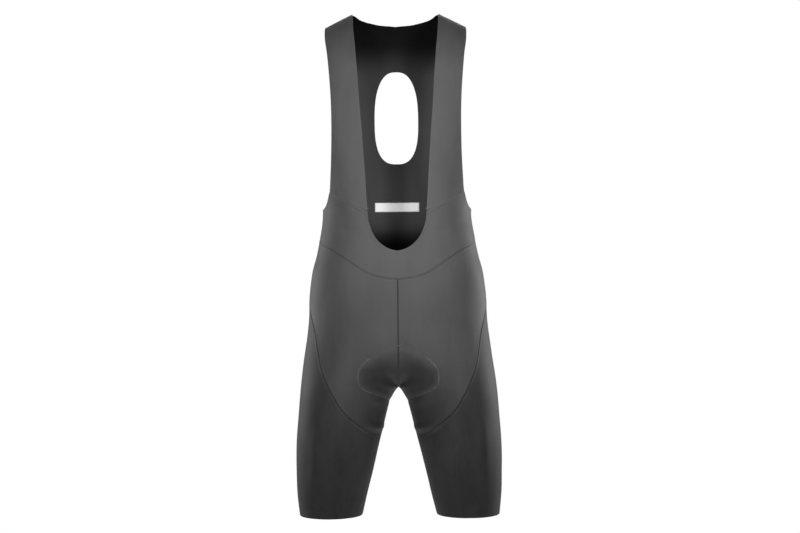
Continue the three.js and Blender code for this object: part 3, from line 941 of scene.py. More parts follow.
# ---------------------------------------------------------------- panels
class Cloth:
    """The middle surfaces of the finished panels, for what lies on them."""

    REACH = 14.0  # how far a point is moved at most

    def __init__(self) -> None:
        """Starts empty."""
        self.points: list[tuple[float, ...]] = []
        self.faces: list[tuple[int, int, int, int]] = []
        self.tree: BVHTree | None = None

    def add(self, points: Array) -> None:
        """Adds a panel's lattice of points."""
        rows, columns = points.shape[:2]
        index = np.arange(rows * columns).reshape(rows, columns) + len(self.points)
        corners = (index[:-1, :-1], index[:-1, 1:], index[1:, 1:], index[1:, :-1])
        self.faces += [tuple(map(int, face)) for face in np.stack([c.ravel() for c in corners], axis=-1)]
        self.points += [tuple(map(float, point)) for point in points.reshape(-1, 3)]

    def settle(self, points: Array, normals: Array, offset: float) -> Array:
        """Moves points of the form onto the cloth.

        Args:
            points: Points near the cloth.
            normals: Outward unit normals there.
            offset: Where they come to lie, measured outwards from the cloth's middle.

        Returns:
            The moved points. A point over a slit between panels keeps its place on the form.
        """
        if self.tree is None:
            self.tree = BVHTree.FromPolygons(self.points, self.faces)
        flat, out = points.reshape(-1, 3), normals.reshape(-1, 3)
        moved = flat + out * offset
        sign = 1.0 if offset > 0 else -1.0
        for i, (point, normal) in enumerate(zip(flat, out)):
            start = Vector(point + normal * sign * self.REACH)
            hit = self.tree.ray_cast(start, Vector(-sign * normal), 2 * self.REACH)[0]
            if hit is not None:
                moved[i] = np.array(hit) + normal * offset
        return moved.reshape(points.shape)


@dataclass
class Panel:
    """A knit panel made from a grid of places on the form.

    Attributes:
        name: The piece's name.
        node: The solid it stands for.
        finish: Its cloth.
        flat: Width and length of its cut, in metres. Not used.
        area: Area of its cut, in square metres. Not used.
        across: Shares at which its columns stand.
        along: Shares at which its rows stand.
        edges: What its low-u, high-u, low-v and high-v edges are.
        seed: Picks its small unevenness.
        thickness: Its cloth's thickness.
        inside: The finish of its inner face, if that looks different; for the back bib, a lit and shaded
            copy.
    """

    name: str
    node: str
    finish: KnitFinish
    flat: tuple[float, float]
    area: float
    across: Array
    along: Array
    edges: tuple[Edge, Edge, Edge, Edge]
    seed: int = 1
    thickness: float = CLOTH
    inside: KnitFinish | None = None

    def places(self, u: Array, v: Array) -> tuple[Array, Array, Array | float]:
        """Angles, heights and sides for shares across and along. Each kind of panel gives its own."""
        raise NotImplementedError

    def lift(self, points: Array) -> Array:
        """The relief of this panel's cloth beyond its seams, in millimetres."""
        total = waviness(points, self.seed)
        for crease in CREASES:
            total = total + crease.lift(points)
        return total

    def painted_shade(self, points: Array) -> Array | float:
        """The shade painted on this panel's cloth, from 0 to 1: none on most panels."""
        return 0.0

    def lattice(self) -> tuple[Array, Array, Array, Array]:
        """Works out the panel's points.

        Returns:
            Points in millimetres, unit normals, UV coordinates in metres and painted shade, from the seams
            and the panel's own, each with rows along and columns across.
        """
        v, u = np.meshgrid(self.along, self.across, indexing="ij")
        angle, height, side = self.places(u, v)
        points, normals = FORM.place(angle, height, side)
        over = np.linalg.norm(np.diff(points, axis=1), axis=-1)
        down = np.linalg.norm(np.diff(points, axis=0), axis=-1)
        run_u = np.concatenate([np.zeros((len(points), 1)), np.cumsum(over, axis=1)], axis=1)
        run_v = np.concatenate([np.zeros((1, points.shape[1])), np.cumsum(down, axis=0)], axis=0)
        distances = (run_u, run_u[:, -1:] - run_u, run_v, run_v[-1:] - run_v)
        runs = (run_v, run_v, run_u, run_u)
        lift = self.lift(points)
        seam = np.zeros_like(lift)
        fade = smooth(0, NARROW, run_u[:, -1:])
        for i, (distance, run, kind) in enumerate(zip(distances, runs, self.edges)):
            lift = lift + fade * seam_lift(distance, run, kind, self.seed + i)
            # Shade painted along the sewn edges.
            if kind in PAINTED_SEAM_SHADE:
                seam = np.maximum(seam, PAINTED_SEAM_SHADE[kind].lift(distance))
        moved = points + normals * lift[..., None]
        # Adds the panel's own painted shade to that of its seams.
        seam = np.clip(seam + self.painted_shade(points), 0, 1)
        uv = np.stack([run_u - run_u[:, -1:] / 2, -run_v], axis=-1) * MM
        return moved, normals, uv, seam

    def build(self, wardrobe: Wardrobe, cloth: Cloth) -> None:
        """Makes the panel's piece.

        Args:
            wardrobe: Where its material comes from.
            cloth: The finished cloth, which the panel joins.
        """
        points, normals, uv, seam = self.lattice()
        cloth.add(points)
        obj = cloth_object(self.name, points, normals, uv, seam, self.thickness)
        obj.data.materials.append(wardrobe.knit_material(self.finish, self.finish.slot))
        # The inner face takes its own, lit and shaded copy of the finish.
        if self.inside:
            obj.data.materials.append(wardrobe.knit_material(self.inside, f"{self.inside.slot}_inside"))
            obj.modifiers["wall"].material_offset = 1
        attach(obj, "root")
        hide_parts(self.node)
        log.info("%s: %d faces", self.name, len(obj.data.polygons))


def mesh_object(name: str, bm: bmesh.types.BMesh) -> bpy.types.Object:
    """Makes an object of a bmesh, and frees it."""
    mesh = bpy.data.meshes.new(name)
    bm.to_mesh(mesh)
    bm.free()
    obj = bpy.data.objects.new(name, mesh)
    bpy.context.scene.collection.objects.link(obj)
    return obj


def cloth_object(
    name: str, points: Array, normals: Array, uv: Array, seam: Array, thickness: float
) -> bpy.types.Object:
    """A cloth shell through a lattice of points.

    Args:
        name: The object's name.
        points: Points in millimetres, rows by columns.
        normals: Outward normals there.
        uv: UV coordinates in metres.
        seam: How much darker each point is, 0 to 1: painted shade on a panel, a woven border on the label.
        thickness: The cloth's thickness, in millimetres.

    Returns:
        The object, with its thickness as a Solidify modifier.
    """
    rows, columns = points.shape[:2]
    bm = bmesh.new()
    uv_layer = bm.loops.layers.uv.new("cloth")
    # The seam attribute: painted shade, or a label's woven border.
    shade_and_border_layer = bm.verts.layers.float.new("seam")
    bmesh.ops.create_grid(bm, x_segments=columns - 1, y_segments=rows - 1, size=0.5)
    index = {}
    for vert in bm.verts:
        c = round((vert.co.x + 0.5) * (columns - 1))
        r = round((vert.co.y + 0.5) * (rows - 1))
        index[vert] = (r, c)
        vert[shade_and_border_layer] = float(seam[r, c])
    for face in bm.faces:
        for loop in face.loops:
            loop[uv_layer].uv = uv[index[loop.vert]]
    for vert, place in index.items():
        vert.co = points[place] * MM
    bmesh.ops.remove_doubles(bm, verts=bm.verts[:], dist=2e-5)
    bmesh.ops.dissolve_degenerate(bm, dist=1e-6, edges=bm.edges[:])
    outward = sum(
        face.normal.dot(normals[index.get(face.verts[0], (0, 0))]) * face.calc_area() for face in bm.faces
    )
    if outward < 0:
        bmesh.ops.reverse_faces(bm, faces=bm.faces[:])
    for face in bm.faces:
        face.smooth = True
    for edge in bm.edges:
        if edge.is_boundary:
            edge.smooth = False
    obj = mesh_object(name, bm)
    wall = obj.modifiers.new("wall", "SOLIDIFY")
    wall.thickness = thickness * MM
    wall.offset = 0
    return obj


def two_lines(first: Path, second: Path, corner: float, share: Array) -> Array:
    """Angles and heights along one line up to a corner, and along another after it.

    Args:
        first: The line before the corner.
        second: The line after it.
        corner: The share at which one takes over from the other.
        share: The shares to read, from 0 to 1.

    Returns:
        The angles and heights, stacked.
    """
    before = np.array(first.at(np.minimum(share / corner, 1)))
    after = np.array(second.at(np.clip((share - corner) / (1 - corner), 0, 1)))
    return np.where(share <= corner, before, after)


@dataclass
class LowerPanel(Panel):
    """A front or seat panel, from the centre line and inseam out to the side and leg seams."""

    side: int = 1
    back: bool = False
    corner_inner: float = 0.74
    corner_outer: float = 0.22

    def places(self, u: Array, v: Array) -> tuple[Array, Array, Array | float]:
        """Rows run outwards from the centre line, and bend to the waist seam at the top."""
        centre = CENTRE_BACK if self.back else CENTRE_FRONT
        waist = BACK_WAIST if self.back else YOKE_SEAM
        inner = two_lines(centre, INSEAM_TOP, self.corner_inner, v)
        outer = two_lines(SIDE_SEAM, LEG_SEAM, self.corner_outer, v)
        u = SEAM_SHARE + u * (1 - 2 * SEAM_SHARE)
        top = np.array(waist.at(u))
        first, last = np.array(waist.at(0)), np.array(waist.at(1))
        ruled = inner + (outer - inner) * u
        line = first[:, None, None] + (last - first)[:, None, None] * u
        angle, height = ruled + (1 - v) * (top - line)
        if self.back:
            angle = 360 - angle
        return angle, height, self.side

    def lift(self, points: Array) -> Array:
        """Adds the pad's step."""
        return super().lift(points) + RELIEF.pad(points)

    def painted_shade(self, points: Array) -> Array:
        """Paints shade over the pad, beside the crotch and on the inner thighs."""
        return RELIEF.lower_painted_shade(points)


@dataclass
class LegPanel(Panel):
    """A leg panel, from its point at the hip to the hem."""

    side: int = 1
    join: float = 0.68

    def places(self, u: Array, v: Array) -> tuple[Array, Array, Array | float]:
        """Rows run round the leg from the front seam to the back seam."""
        edge = two_lines(LEG_SEAM, INSEAM_LOW, self.join, v)
        u = SEAM_SHARE / 2 + u * (1 - SEAM_SHARE)
        middle = HIP_POINT + (HEM - HIP_POINT) * v
        angle = edge[0] + (360 - 2 * edge[0]) * u
        height = edge[1] + (middle - edge[1]) * np.sin(np.pi * u) ** 2
        return angle, height, self.side


@dataclass
class Yoke(Panel):
    """The front yoke, from one side seam to the other."""

    neck: float = 0.5
    strap: float = 0.84

    def places(self, u: Array, v: Array) -> tuple[Array, Array, Array | float]:
        """Columns run from the neckline, strap seams and armholes down to the lower seam."""
        share = np.abs(2 * u - 1)
        side = np.where(u < 0.5, -1.0, 1.0)
        neck = np.array(NECKLINE.at(np.clip(share / self.neck, 0, 1)))
        middle = np.array(strap_seam(np.clip((share - self.neck) / (self.strap - self.neck), 0, 1)))
        foot = np.array(ARMHOLE_FOOT.at(np.clip((share - self.strap) / (1 - self.strap), 0, 1)))
        top = np.where(share <= self.neck, neck, np.where(share <= self.strap, middle, foot))
        low = np.array(YOKE_SEAM.at(share))
        angle, height = top + (low - top) * v
        return angle, height, side


@dataclass
class Strap(Panel):
    """A front strap, from its seam at the waist over the crest of the shoulder."""

    side: int = 1

    def places(self, u: Array, v: Array) -> tuple[Array, Array, Array | float]:
        """Rows run across the strap."""
        foot_angle, foot_height = strap_seam(u)
        height = foot_height + (CREST + SHOULDER_SEAM - foot_height) * v
        inner, outer = strap_edges(height)
        angle = FORM.angle_at(inner + (outer - inner) * u, height)
        return np.where(v == 0, foot_angle, angle), height, self.side


@dataclass
class BackBib(Panel):
    """The back bib, in rings from the oval opening to the outline.

    Attributes:
        stops: Shares of the half outline at which each of its lines starts, and the end.
        hole_stops: The same places on the opening, as shares of its half turn.
        ease: How the rings crowd towards the opening.
        corner_turn: Angles over which the rings bend towards the corner at the waist.
        corner_drop: Depths below the shoulders over which they do.
        corner_pull: How strongly they bend there.
        upper_painted_shade: How much shade is painted on the inner face high up, and right under the
            neckline.
        waist_shade_drop: Depths below the shoulders over which shade is painted on the inner face at the
            waist.
    """

    stops: tuple[float, ...] = (0, 0.13, 0.25, 0.62, 0.7, 1.0001)
    hole_stops: tuple[float, ...] = (0, 0.14, 0.27, 0.68, 0.75, 1)
    ease: float = 1.25
    corner_turn: tuple[float, float] = (125.0, 165.0)
    corner_drop: tuple[float, float] = (240.0, 330.0)
    corner_pull: float = 1.8
    # Shade painted on the inner face.
    upper_painted_shade: tuple[float, float] = (0.1, 0.85)
    waist_shade_drop: tuple[float, float] = (362.0, 414.0)

    def painted_shade(self, points: Array) -> Array:
        """Shade painted on the inner face where it turns away from the light: high up, under the neckline and
        down at the waist.
        """
        height = points[..., 2]
        high, neck = self.upper_painted_shade
        upper = high * smooth(-290, -190, height) + neck * smooth(-100, -30, height)
        return upper + smooth(*self.waist_shade_drop, -height)

    def places(self, u: Array, v: Array) -> tuple[Array, Array, Array | float]:
        """Columns run outwards from the opening. u goes once round, from the top of the centre line."""
        share = 1 - np.abs(2 * u - 1)
        side = np.where(u <= 0.5, 1.0, -1.0)
        lines = (BACK_NECKLINE, shoulder_line(), BACK_ARMHOLE, BACK_SIDE, BACK_WAIST.reversed())
        outline = np.zeros((2, *u.shape))
        turn = np.interp(share, self.stops, self.hole_stops) * np.pi
        for line, low, high in zip(lines, self.stops, self.stops[1:]):
            found = np.array(line.at(np.clip((share - low) / (high - low), 0, 1)))
            outline = np.where((share >= low) & (share <= high), found, outline)
        across = HOLE_HALF * np.maximum(signed_power(np.sin(turn), 2 / HOLE_SQUARE), 0)
        height = HOLE_HEIGHT + HOLE_TALL * signed_power(np.cos(turn), 2 / HOLE_SQUARE)
        inner = np.array([FORM.angle_at(across, height), height])
        ease = v**self.ease
        turned = smooth(*self.corner_turn, outline[0]) * smooth(*self.corner_drop, -outline[1])
        fall = 1 - (1 - ease) ** (1 + self.corner_pull * turned)
        angle = inner[0] + (outline[0] - inner[0]) * ease
        height = inner[1] + (outline[1] - inner[1]) * fall
        return 360 - angle, height, side


def shoulder_line(fine: int = 60) -> Path:
    """The level line of the shoulder seam, from a strap's inner edge to its outer edge."""
    height = np.full(fine + 1, CREST - SHOULDER_SEAM)
    return Path(FORM.angle_at(np.linspace(*STRAP_TOP, fine + 1), height), height)


def panels() -> list[Panel]:
    """Every knit panel, with the sizes of its cut."""
    made: list[Panel] = []
    seam, none = Edge.SEAM, Edge.NONE
    lower_rows = np.unique(np.r_[crowded(100, 0.9, 0.0), LowerPanel.corner_inner, LowerPanel.corner_outer])
    for name, side, seed in (("left", 1, 11), ("right", -1, 23)):
        made.append(
            Strap(
                name=f"strap_{name}_cloth",
                node=f"strap_{name}",
                finish=FRONT_KNIT,
                flat=(0.075, 0.40),
                area=0.0225,
                across=crowded(24),
                along=crowded(110, 0.9, 0.5),
                edges=(Edge.RAW, Edge.RAW, seam, seam),
                seed=seed,
                side=side,
            )
        )
        for word, finish, flat, area, top, back in (
            ("front", FRONT_KNIT, (0.21, 0.36), 0.054, Edge.FLAT_SEAM, False),
            ("seat", LEG_KNIT, (0.22, 0.40), 0.06, seam, True),
        ):
            made.append(
                LowerPanel(
                    name=f"{word}_{name}_cloth",
                    node=f"{word}_{name}",
                    finish=finish,
                    flat=flat,
                    area=area,
                    across=crowded(60),
                    along=lower_rows,
                    edges=(seam, seam, top, none),
                    seed=seed + 1 + back,
                    side=side,
                    back=back,
                )
            )
        made.append(
            LegPanel(
                name=f"leg_{name}_cloth",
                node=f"leg_{name}",
                finish=LEG_KNIT,
                flat=(0.50, 0.42),
                area=0.12,
                across=crowded(130),
                along=np.unique(np.r_[np.linspace(0, 1, 111), LegPanel.join, 0.9975, 0.999]),
                edges=(seam, seam, none, Edge.RAW),
                seed=seed + 3,
                side=side,
            )
        )
    made += [
        Yoke(
            name="front_yoke_cloth",
            node="front_yoke",
            finish=FRONT_KNIT,
            flat=(0.38, 0.17),
            area=0.032,
            across=np.linspace(0, 1, 161),
            along=crowded(48),
            edges=(seam, seam, Edge.BONDED, Edge.FLAT_SEAM),
            seed=5,
        ),
        BackBib(
            name="back_bib_cloth",
            node="back_bib",
            finish=BACK_KNIT,
            flat=(0.42, 0.46),
            area=0.105,
            across=np.linspace(0, 1, 241),
            along=crowded(60),
            edges=(none, none, Edge.BONDED, Edge.BONDED),
            seed=6,
            inside=BACK_INSIDE_LIT_AND_SHADED,
        ),
    ]
    return made


# ---------------------------------------------------------------- pad, label and trims
@dataclass
class SeatPad:
    """The foam seat pad: thin at its stitched rim, thick in the middle, with three grooves."""

    clear: float = 1.0  # below the cloth's middle
    rim: float = 1.6
    middle: float = 6.5
    seat: float = 2.5  # extra thickness under the seat bones
    groove: float = 3.0
    flat: tuple[float, float] = (0.17, 0.30)
    rows: int = 120
    columns: int = 80
    join_front: float = 7 / 12
    join_back: float = 9 / 14
    flank_depth: float = 0.8  # the side grooves' depth as a share of the middle one's
    dimple: float = 0.25  # the stitched line's depth

    def half(self, u: Array, v: Array, rows: tuple[tuple[float, float], ...], join: float) -> Array:
        """Angles and heights on one face, from the centre line out to an outline through some rows."""
        outline = spline(rows)
        outline.angle[-1] = 0
        middle = np.array(centre_line(rows[0][1]).at(np.clip(v / join, 0, 1)))
        edge = np.array(outline.at(v))
        return middle + (edge - middle) * u

    def thickness(self, share: Array, wv: Array) -> Array:
        """The pad's thickness, with its grooves and stitched line.

        Args:
            share: Places from the centre line, at 0, to the outline, at 1.
            wv: Places from the front end, at 0, to the back end, at 1.

        Returns:
            The thickness there, in millimetres.
        """
        deep = np.minimum(1 - share, np.minimum(wv, 1 - wv) * 2.2)
        body = smooth(0.05, 0.32, deep)
        seat = bell(share, 0.5, 0.3) * bell(wv, 0.68, 0.16)
        centre = bell(share, 0, 0.07) * smooth(0.14, 0.24, wv) * (1 - smooth(0.78, 0.86, wv))
        flank_at = 0.46 + 0.12 * np.cos(2 * np.pi * wv)
        flank = bell(share, flank_at, 0.045) * smooth(0.1, 0.2, wv) * (1 - smooth(0.8, 0.9, wv))
        thick = self.rim + (self.middle - self.rim + self.seat * seat) * body
        groove = self.groove * np.maximum(centre, self.flank_depth * flank) * body
        return np.maximum(thick - groove, self.rim) - self.dimple * bell(deep, 0.045, 0.015)

    def build(self, wardrobe: Wardrobe, cloth: Cloth) -> None:
        """Makes the pad."""
        w = np.linspace(0, 1, self.rows + 1)
        across = np.sin(np.linspace(-1, 1, self.columns + 1) * np.pi / 2)
        wv, uu = np.meshgrid(w, across, indexing="ij")
        share, side = np.abs(uu), np.where(uu < 0, -1.0, 1.0)
        front = self.half(share, np.clip(2 * wv, 0, 1), PAD_FRONT, self.join_front)
        back = self.half(share, np.clip(2 - 2 * wv, 0, 1), PAD_BACK, self.join_back)
        back[0] = 360 - back[0]
        ahead = wv <= 0.5
        angle, height = np.where(ahead, front, back)
        angle = np.where(wv == 0.5, 0.0, angle)
        points, normals = FORM.place(angle, height, side)
        outer = cloth.settle(points, normals, -self.clear)
        lattice = np.stack([outer, outer - normals * self.thickness(share, wv)[..., None]])
        obj = self.close(lattice)
        obj.data.materials.append(wardrobe.knit_material(PAD_CLOTH, PAD_CLOTH.slot))
        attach(obj, "root")
        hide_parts("seat_pad")
        log.info("seat pad: %d faces", len(obj.data.polygons))

    def close(self, lattice: Array) -> bpy.types.Object:
        """Makes one closed mesh of the pad's two faces.

        Args:
            lattice: The outer and the inner face's points.

        Returns:
            The object.
        """
        rows, columns = lattice.shape[1:3]
        bm = bmesh.new()
        uv_layer = bm.loops.layers.uv.new("cloth")
        for layer in lattice:
            made = bmesh.ops.create_grid(bm, x_segments=columns - 1, y_segments=rows - 1, size=0.5)["verts"]
            places = {
                vert: (round((vert.co.y + 0.5) * (rows - 1)), round((vert.co.x + 0.5) * (columns - 1)))
                for vert in made
            }
            for face in {face for vert in made for face in vert.link_faces}:
                for loop in face.loops:
                    r, c = places[loop.vert]
                    loop[uv_layer].uv = (c * self.flat[0] / columns, r * self.flat[1] / rows)
            for vert, place in places.items():
                vert.co = layer[place] * MM
        rim = [edge for edge in bm.edges if edge.is_boundary]
        bmesh.ops.bridge_loops(bm, edges=rim)
        bmesh.ops.remove_doubles(bm, verts=bm.verts[:], dist=1e-5)
        bmesh.ops.recalc_face_normals(bm, faces=bm.faces[:])
        for face in bm.faces:
            face.smooth = True
        return mesh_object("seat_pad_cloth", bm)


@dataclass
class Label:
    """The woven label inside the back bib."""

    wide: float = 84.0
    tall: float = 17.0
    height: float = -342.0
    thickness: float = 0.5
    under: float = -1.3  # from the bib's middle to the label's middle
    border: float = 1.2  # the woven border's distance from the edge
    ripple: float = 0.12

    def build(self, wardrobe: Wardrobe, cloth: Cloth) -> None:
        """Makes the label."""
        v, u = np.meshgrid(np.linspace(0.5, -0.5, 21), np.linspace(-0.5, 0.5, 85), indexing="ij")
        height = self.height + v * self.tall
        angle = 360 - FORM.angle_at(np.abs(u) * self.wide, height)
        points, normals = FORM.place(angle, height, np.where(u < 0, -1.0, 1.0))
        points = cloth.settle(points, normals, self.under)
        ripple = self.ripple * np.sin(u * 31) * np.cos(v * 3) * (1 - smooth(0.4, 0.5, np.abs(u)))
        points = points - normals * (ripple + self.ripple)[..., None]
        uv = np.stack([u * self.wide, v * self.tall], axis=-1) * MM
        rim = np.minimum((0.5 - np.abs(u)) * self.wide, (0.5 - np.abs(v)) * self.tall)
        border = bell(rim, self.border, 0.35)
        obj = cloth_object("label_cloth_strip", points, normals, uv, border, self.thickness)
        obj.data.materials.append(wardrobe.knit_material(LABEL_CLOTH, LABEL_CLOTH.slot))
        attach(obj, "root")
        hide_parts("label")
        log.info("label: %d faces", len(obj.data.polygons))


@dataclass
class Run:
    """A line on the cloth, with its own axes at each place.

    Attributes:
        points: Points of the form.
        normals: Outward unit normals.
        along: Unit tangents.
        beside: Unit vectors across the line, in the cloth.
    """

    points: Array
    normals: Array
    along: Array
    beside: Array

    @classmethod
    def on(cls, path: Path, side: float, pitch: float, low: float = 0.0, high: float = 1.0) -> "Run":
        """Places along a path, at equal steps.

        Args:
            path: The line.
            side: 1 on the wearer's left, -1 on the right.
            pitch: The step.
            low: The share of the path's length at which it starts.
            high: The share at which it ends.

        Returns:
            The run.
        """
        count = max(int(path.length * (high - low) / pitch), 2)
        angle, height = path.at(np.linspace(low, high, count + 1))
        points, normals = FORM.place(angle, height, side)
        along = np.gradient(points, axis=0)
        along /= np.linalg.norm(along, axis=-1, keepdims=True) + 1e-12
        beside = np.cross(normals, along)
        beside /= np.linalg.norm(beside, axis=-1, keepdims=True) + 1e-12
        return cls(points, normals, along, beside)

    def shifted(self, distance: float, towards: tuple[float, float, float]) -> "Run":
        """The run moved sideways in the cloth, to the side on which a direction lies."""
        sign = np.sign((self.beside @ np.array(towards)).sum())
        return Run(self.points + self.beside * distance * sign, self.normals, self.along, self.beside)


def strap_seam_line(fine: int = 60) -> Path:
    """The seam that joins a strap to the yoke."""
    return Path(*strap_seam(np.linspace(0, 1, fine + 1)))


def side_seams() -> dict[str, Path]:
    """The seams on one side of the garment."""
    return {
        "yoke_seam": YOKE_SEAM,
        "back_waist_seam": BACK_WAIST.on_back(),
        "leg_seam_front": LEG_SEAM,
        "leg_seam_back": LEG_SEAM.on_back(),
        "side_seam_low": SIDE_SEAM,
        "side_seam_high": BACK_SIDE,
        "inseam_top": INSEAM_TOP,
        "inseam_low": INSEAM_LOW,
        "strap_seam": strap_seam_line(),
        "shoulder_seam": shoulder_line().on_back(),
    }


@dataclass
class SeamTapes:
    """The flat tapes that cover the seams on the inside."""

    wide: float = 10.5
    thickness: float = 0.4
    under: float = -0.95  # from the cloth's middle to the first tape's middle
    layer_step: float = 0.06
    pitch: float = 3.0

    def build(self, wardrobe: Wardrobe, cloth: Cloth) -> None:
        """Makes every tape."""
        middles = {"centre_front_seam": CENTRE_FRONT, "centre_back_seam": CENTRE_BACK.on_back()}
        for i, (name, path) in enumerate(middles.items()):
            self.tape(name, path, 1.0, i, wardrobe, cloth)
        for side, word in ((1.0, "left"), (-1.0, "right")):
            for i, (name, path) in enumerate(side_seams().items()):
                self.tape(f"{name}_{word}", path, side, i, wardrobe, cloth)

    def tape(
        self, name: str, path: Path, side: float, layer: int, wardrobe: Wardrobe, cloth: Cloth
    ) -> None:
        """Makes one tape.

        Args:
            name: The seam's name.
            path: Its line.
            side: 1 on the wearer's left, -1 on the right.
            layer: Sets how deep it lies, so that crossing tapes don't share a face.
            wardrobe: Where its material comes from.
            cloth: The finished cloth.
        """
        run = Run.on(path, side, self.pitch)
        across = np.linspace(-0.5, 0.5, 7) * self.wide
        points = run.points[:, None] + run.beside[:, None] * across[:, None]
        normals = np.repeat(run.normals[:, None], len(across), axis=1)
        settled = cloth.settle(points, normals, self.under - self.layer_step * layer)
        settled[:, 3] = (settled[:, 2] + settled[:, 4]) / 2
        length = np.arange(len(points)) * self.pitch
        uv = np.stack(np.broadcast_arrays(across[None, :], length[:, None]), axis=-1) * MM
        flat = np.zeros(points.shape[:2])
        obj = cloth_object(f"{name}_tape", settled, normals, uv, flat, self.thickness)
        obj.data.materials.append(wardrobe.knit_material(LEG_KNIT, LEG_KNIT.slot))
        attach(obj, "root")


class Stitch(Enum):
    """How a row of stitches runs: the degrees that each stitch turns from the line."""

    STRAIGHT = 0.0
    ZIGZAG = 58.0


@dataclass(frozen=True)
class StitchSize:
    """The sizes of a row of stitches.

    Attributes:
        pitch: From one stitch to the next.
        length: The length of a stitch.
        thick: The thread's thickness.
        kind: How the stitches run.
    """

    pitch: float
    length: float
    thick: float = 0.42
    kind: Stitch = Stitch.STRAIGHT


TOPSTITCH = StitchSize(3.0, 2.3)
PAD_ZIGZAG = StitchSize(3.8, 4.2, 0.75, Stitch.ZIGZAG)
BARTACK = StitchSize(0.8, 3.0, kind=Stitch.ZIGZAG)
DOWN = (0.0, 0.0, -1.0)


@dataclass
class Stitching:
    """Rows of small thread stitches on the outside of the cloth."""

    above: float = 0.48  # the cloth's own half thickness, and a little
    twin_rows: tuple[float, float] = (2.2, 4.4)  # distances of the leg seam's two rows from the seam
    single_row: float = 3.0
    tack: tuple[tuple[float, float], ...] = ((0, -596), (4, -595), (8, -592))

    def row(self, bm: bmesh.types.BMesh, run: Run, cloth: Cloth, size: StitchSize) -> None:
        """Sews one row.

        Args:
            bm: Where the stitches are added.
            run: Their line.
            cloth: The finished cloth.
            size: Their sizes.
        """
        points = cloth.settle(run.points, run.normals, self.above)
        turn = math.radians(size.kind.value)
        for i, point in enumerate(points):
            sign = 1 if i % 2 else -1
            along = run.along[i] * math.cos(turn) + run.beside[i] * math.sin(turn) * sign
            across = np.cross(run.normals[i], along)
            axes = [along * size.length, across * size.thick, run.normals[i] * size.thick]
            matrix = Matrix((np.stack(axes, axis=1) / 2 * MM).tolist()).to_4x4()
            matrix.translation = point * MM
            bmesh.ops.create_icosphere(bm, subdivisions=1, radius=1.0, matrix=matrix)

    def build(self, wardrobe: Wardrobe, cloth: Cloth) -> None:
        """Sews every visible row."""
        pitch, tack = TOPSTITCH.pitch, bmesh.new()
        for side, word in ((1.0, "left"), (-1.0, "right")):
            bm = bmesh.new()
            for path in (LEG_SEAM, LEG_SEAM.on_back()):
                for distance in self.twin_rows:
                    run = Run.on(path, side, pitch, 0.01, 0.985).shifted(distance, (side, 0.0, -1.0))
                    self.row(bm, run, cloth, TOPSTITCH)
            for path, low, high in (
                (YOKE_SEAM, 0.0, 0.99),
                (BACK_WAIST.on_back(), 0.0, 0.99),
                (strap_seam_line(), 0.02, 0.98),
            ):
                run = Run.on(path, side, pitch, low, high).shifted(self.single_row, DOWN)
                self.row(bm, run, cloth, TOPSTITCH)
            self.finish(bm, f"topstitching_{word}", wardrobe, SEAM_THREAD)
            bm = bmesh.new()
            for path, low in ((spline(PAD_FRONT), 0.24), (spline(PAD_BACK).on_back(), 0.02)):
                self.row(bm, Run.on(path, side, PAD_ZIGZAG.pitch, low, 0.95), cloth, PAD_ZIGZAG)
            self.finish(bm, f"pad_stitching_{word}", wardrobe, PAD_THREAD)
            self.row(tack, Run.on(spline(self.tack), side, BARTACK.pitch), cloth, BARTACK)
        self.finish(tack, "pad_bartack", wardrobe, SEAM_THREAD)

    def finish(self, bm: bmesh.types.BMesh, name: str, wardrobe: Wardrobe, thread: Thread) -> None:
        """Makes the piece of a bmesh of stitches."""
        for face in bm.faces:
            face.smooth = True
        bmesh.ops.recalc_face_normals(bm, faces=bm.faces[:])
        obj = mesh_object(name, bm)
        obj.data.materials.append(wardrobe.thread_material(thread))
        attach(obj, "root")
        log.info("%s: %d faces", name, len(obj.data.polygons))


# ---------------------------------------------------------------- scene
@dataclass(frozen=True)
class Lamp:
    """A studio light.

    Attributes:
        name: Its name.
        place: Where it stands, in metres.
        target: Where it points.
        power: Its power in watts.
        size: Width and height of its soft box, or the radius of a spot's lamp twice.
        cone: A spot's full cone in degrees. 0 is a soft box.
    """

    name: str
    place: tuple[float, float, float]
    target: tuple[float, float, float]
    power: float
    size: tuple[float, float] = (0.3, 0.7)
    cone: float = 0.0

    def build(self) -> None:
        """Makes the light."""
        if self.cone:
            lamp = bpy.data.lights.new(self.name, "SPOT")
            lamp.spot_size = math.radians(self.cone)
            lamp.spot_blend = 1.0
            lamp.shadow_soft_size = self.size[0]
        else:
            lamp = bpy.data.lights.new(self.name, "AREA")
            lamp.shape = "RECTANGLE"
            lamp.size, lamp.size_y = self.size
        lamp.energy = self.power
        obj = bpy.data.objects.new(self.name, lamp)
        obj.location = self.place
        obj.rotation_euler = direction_euler(np.array(self.target) - np.array(self.place))
        bpy.context.scene.collection.objects.link(obj)


def direction_euler(aim: Array) -> tuple[float, float, float]:
    """The turn that points a lamp's -Z axis along a direction."""
    x, y, z = aim / np.linalg.norm(aim)
    return (math.acos(-z), 0.0, math.atan2(y, x) - math.pi / 2)


LAMPS = (
    Lamp("front_left", (-0.7, -1.85, 0.1), (0, 0, -0.26), 88.0, (0.22, 0.22), 39.0),
    Lamp("front_right", (0.75, -1.85, 0.1), (0, 0, -0.26), 128.0, (0.22, 0.22), 39.0),
    Lamp("between_straps", (0, -2.0, -0.1), (0, 0, -0.34), 42.0, (0.1, 0.1), 10.0),
    Lamp("left_rim", (-1.15, 0.62, -0.45), (0, 0, -0.45), 7.0, (0.3, 0.6)),
    Lamp("right_rim", (1.15, 0.62, -0.45), (0, 0, -0.45), 9.2, (0.3, 0.6)),
    Lamp("behind", (0.2, 2.4, 0.9), (0, 0, -0.35), 24.0, (1.2, 0.8)),
)


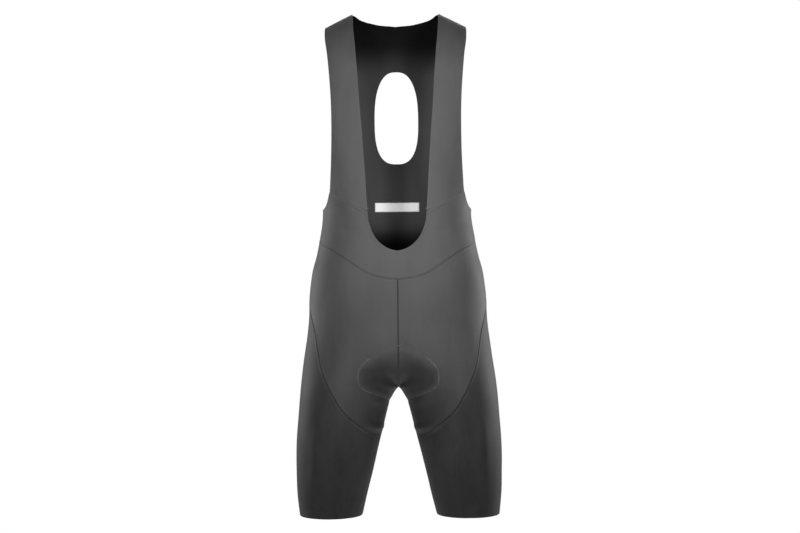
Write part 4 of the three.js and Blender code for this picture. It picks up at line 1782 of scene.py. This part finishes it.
@dataclass
class Studio:
    """The floor, the world, the lamps and the camera."""

    floor_radius: float = 2.6
    floor_drop: float = 0.64  # from the hems down to the floor, in metres
    floor_glow: float = 0.3  # keeps the floor pale under lamps that point at the garment
    world_light: float = 0.07
    lens: float = 70.4
    camera_place: tuple[float, float, float] = (0.0045, -2.9, -0.4545)
    camera_turn: tuple[float, float, float] = (90.0, 0.5, 0.0)

    def build(self) -> None:
        """Builds them all."""
        self.build_floor()
        self.build_world()
        for lamp in LAMPS:
            lamp.build()
        self.build_camera()

    def build_floor(self) -> None:
        """Makes the floor."""
        bm = bmesh.new()
        bmesh.ops.create_circle(bm, cap_ends=True, segments=96, radius=self.floor_radius)
        bmesh.ops.translate(bm, verts=bm.verts[:], vec=(0, 0, HEM * MM - self.floor_drop))
        floor = mesh_object("floor", bm)
        paint = bpy.data.materials.new("floor_paint")
        paint.use_nodes = True
        sockets = paint.node_tree.nodes["Principled BSDF"].inputs
        sockets["Base Color"].default_value = (0.9, 0.9, 0.9, 1)
        sockets["Roughness"].default_value = 0.8
        sockets["Emission Color"].default_value = (1, 1, 1, 1)
        sockets["Emission Strength"].default_value = self.floor_glow
        floor.data.materials.append(paint)

    def build_world(self) -> None:
        """Makes the world: white to the camera, and dim as a light."""
        world = bpy.data.worlds.new("studio")
        world.use_nodes = True
        tree = world.node_tree
        dim = tree.nodes["Background"]
        white = add_node(tree, "Background", {"Color": (1, 1, 1, 1), "Strength": 1.0})
        dim.inputs["Color"].default_value = (1, 1, 1, 1)
        dim.inputs["Strength"].default_value = self.world_light
        seen = add_node(tree, "LightPath", {}).outputs["Is Camera Ray"]
        mix = add_node(tree, "MixShader", {0: seen, 1: dim.outputs[0], 2: white.outputs[0]})
        tree.links.new(mix.outputs[0], tree.nodes["World Output"].inputs[0])
        bpy.context.scene.world = world

    def build_camera(self) -> None:
        """Makes the camera."""
        scene = bpy.context.scene
        scene.view_settings.view_transform = "Standard"
        camera = bpy.data.cameras.new("camera")
        camera.lens = self.lens
        obj = bpy.data.objects.new("camera", camera)
        obj.location = self.camera_place
        obj.rotation_euler = tuple(math.radians(turn) for turn in self.camera_turn)
        scene.collection.objects.link(obj)
        scene.camera = obj


def main() -> None:
    """Builds every piece."""
    logging.basicConfig(level=logging.INFO, format="%(name)s: %(message)s")
    Studio().build()
    wardrobe = Wardrobe()
    cloth = Cloth()
    for panel in panels():
        panel.build(wardrobe, cloth)
    for part in (SeatPad(), Label(), SeamTapes(), Stitching()):
        part.build(wardrobe, cloth)


if __name__ == "__main__":
    main()
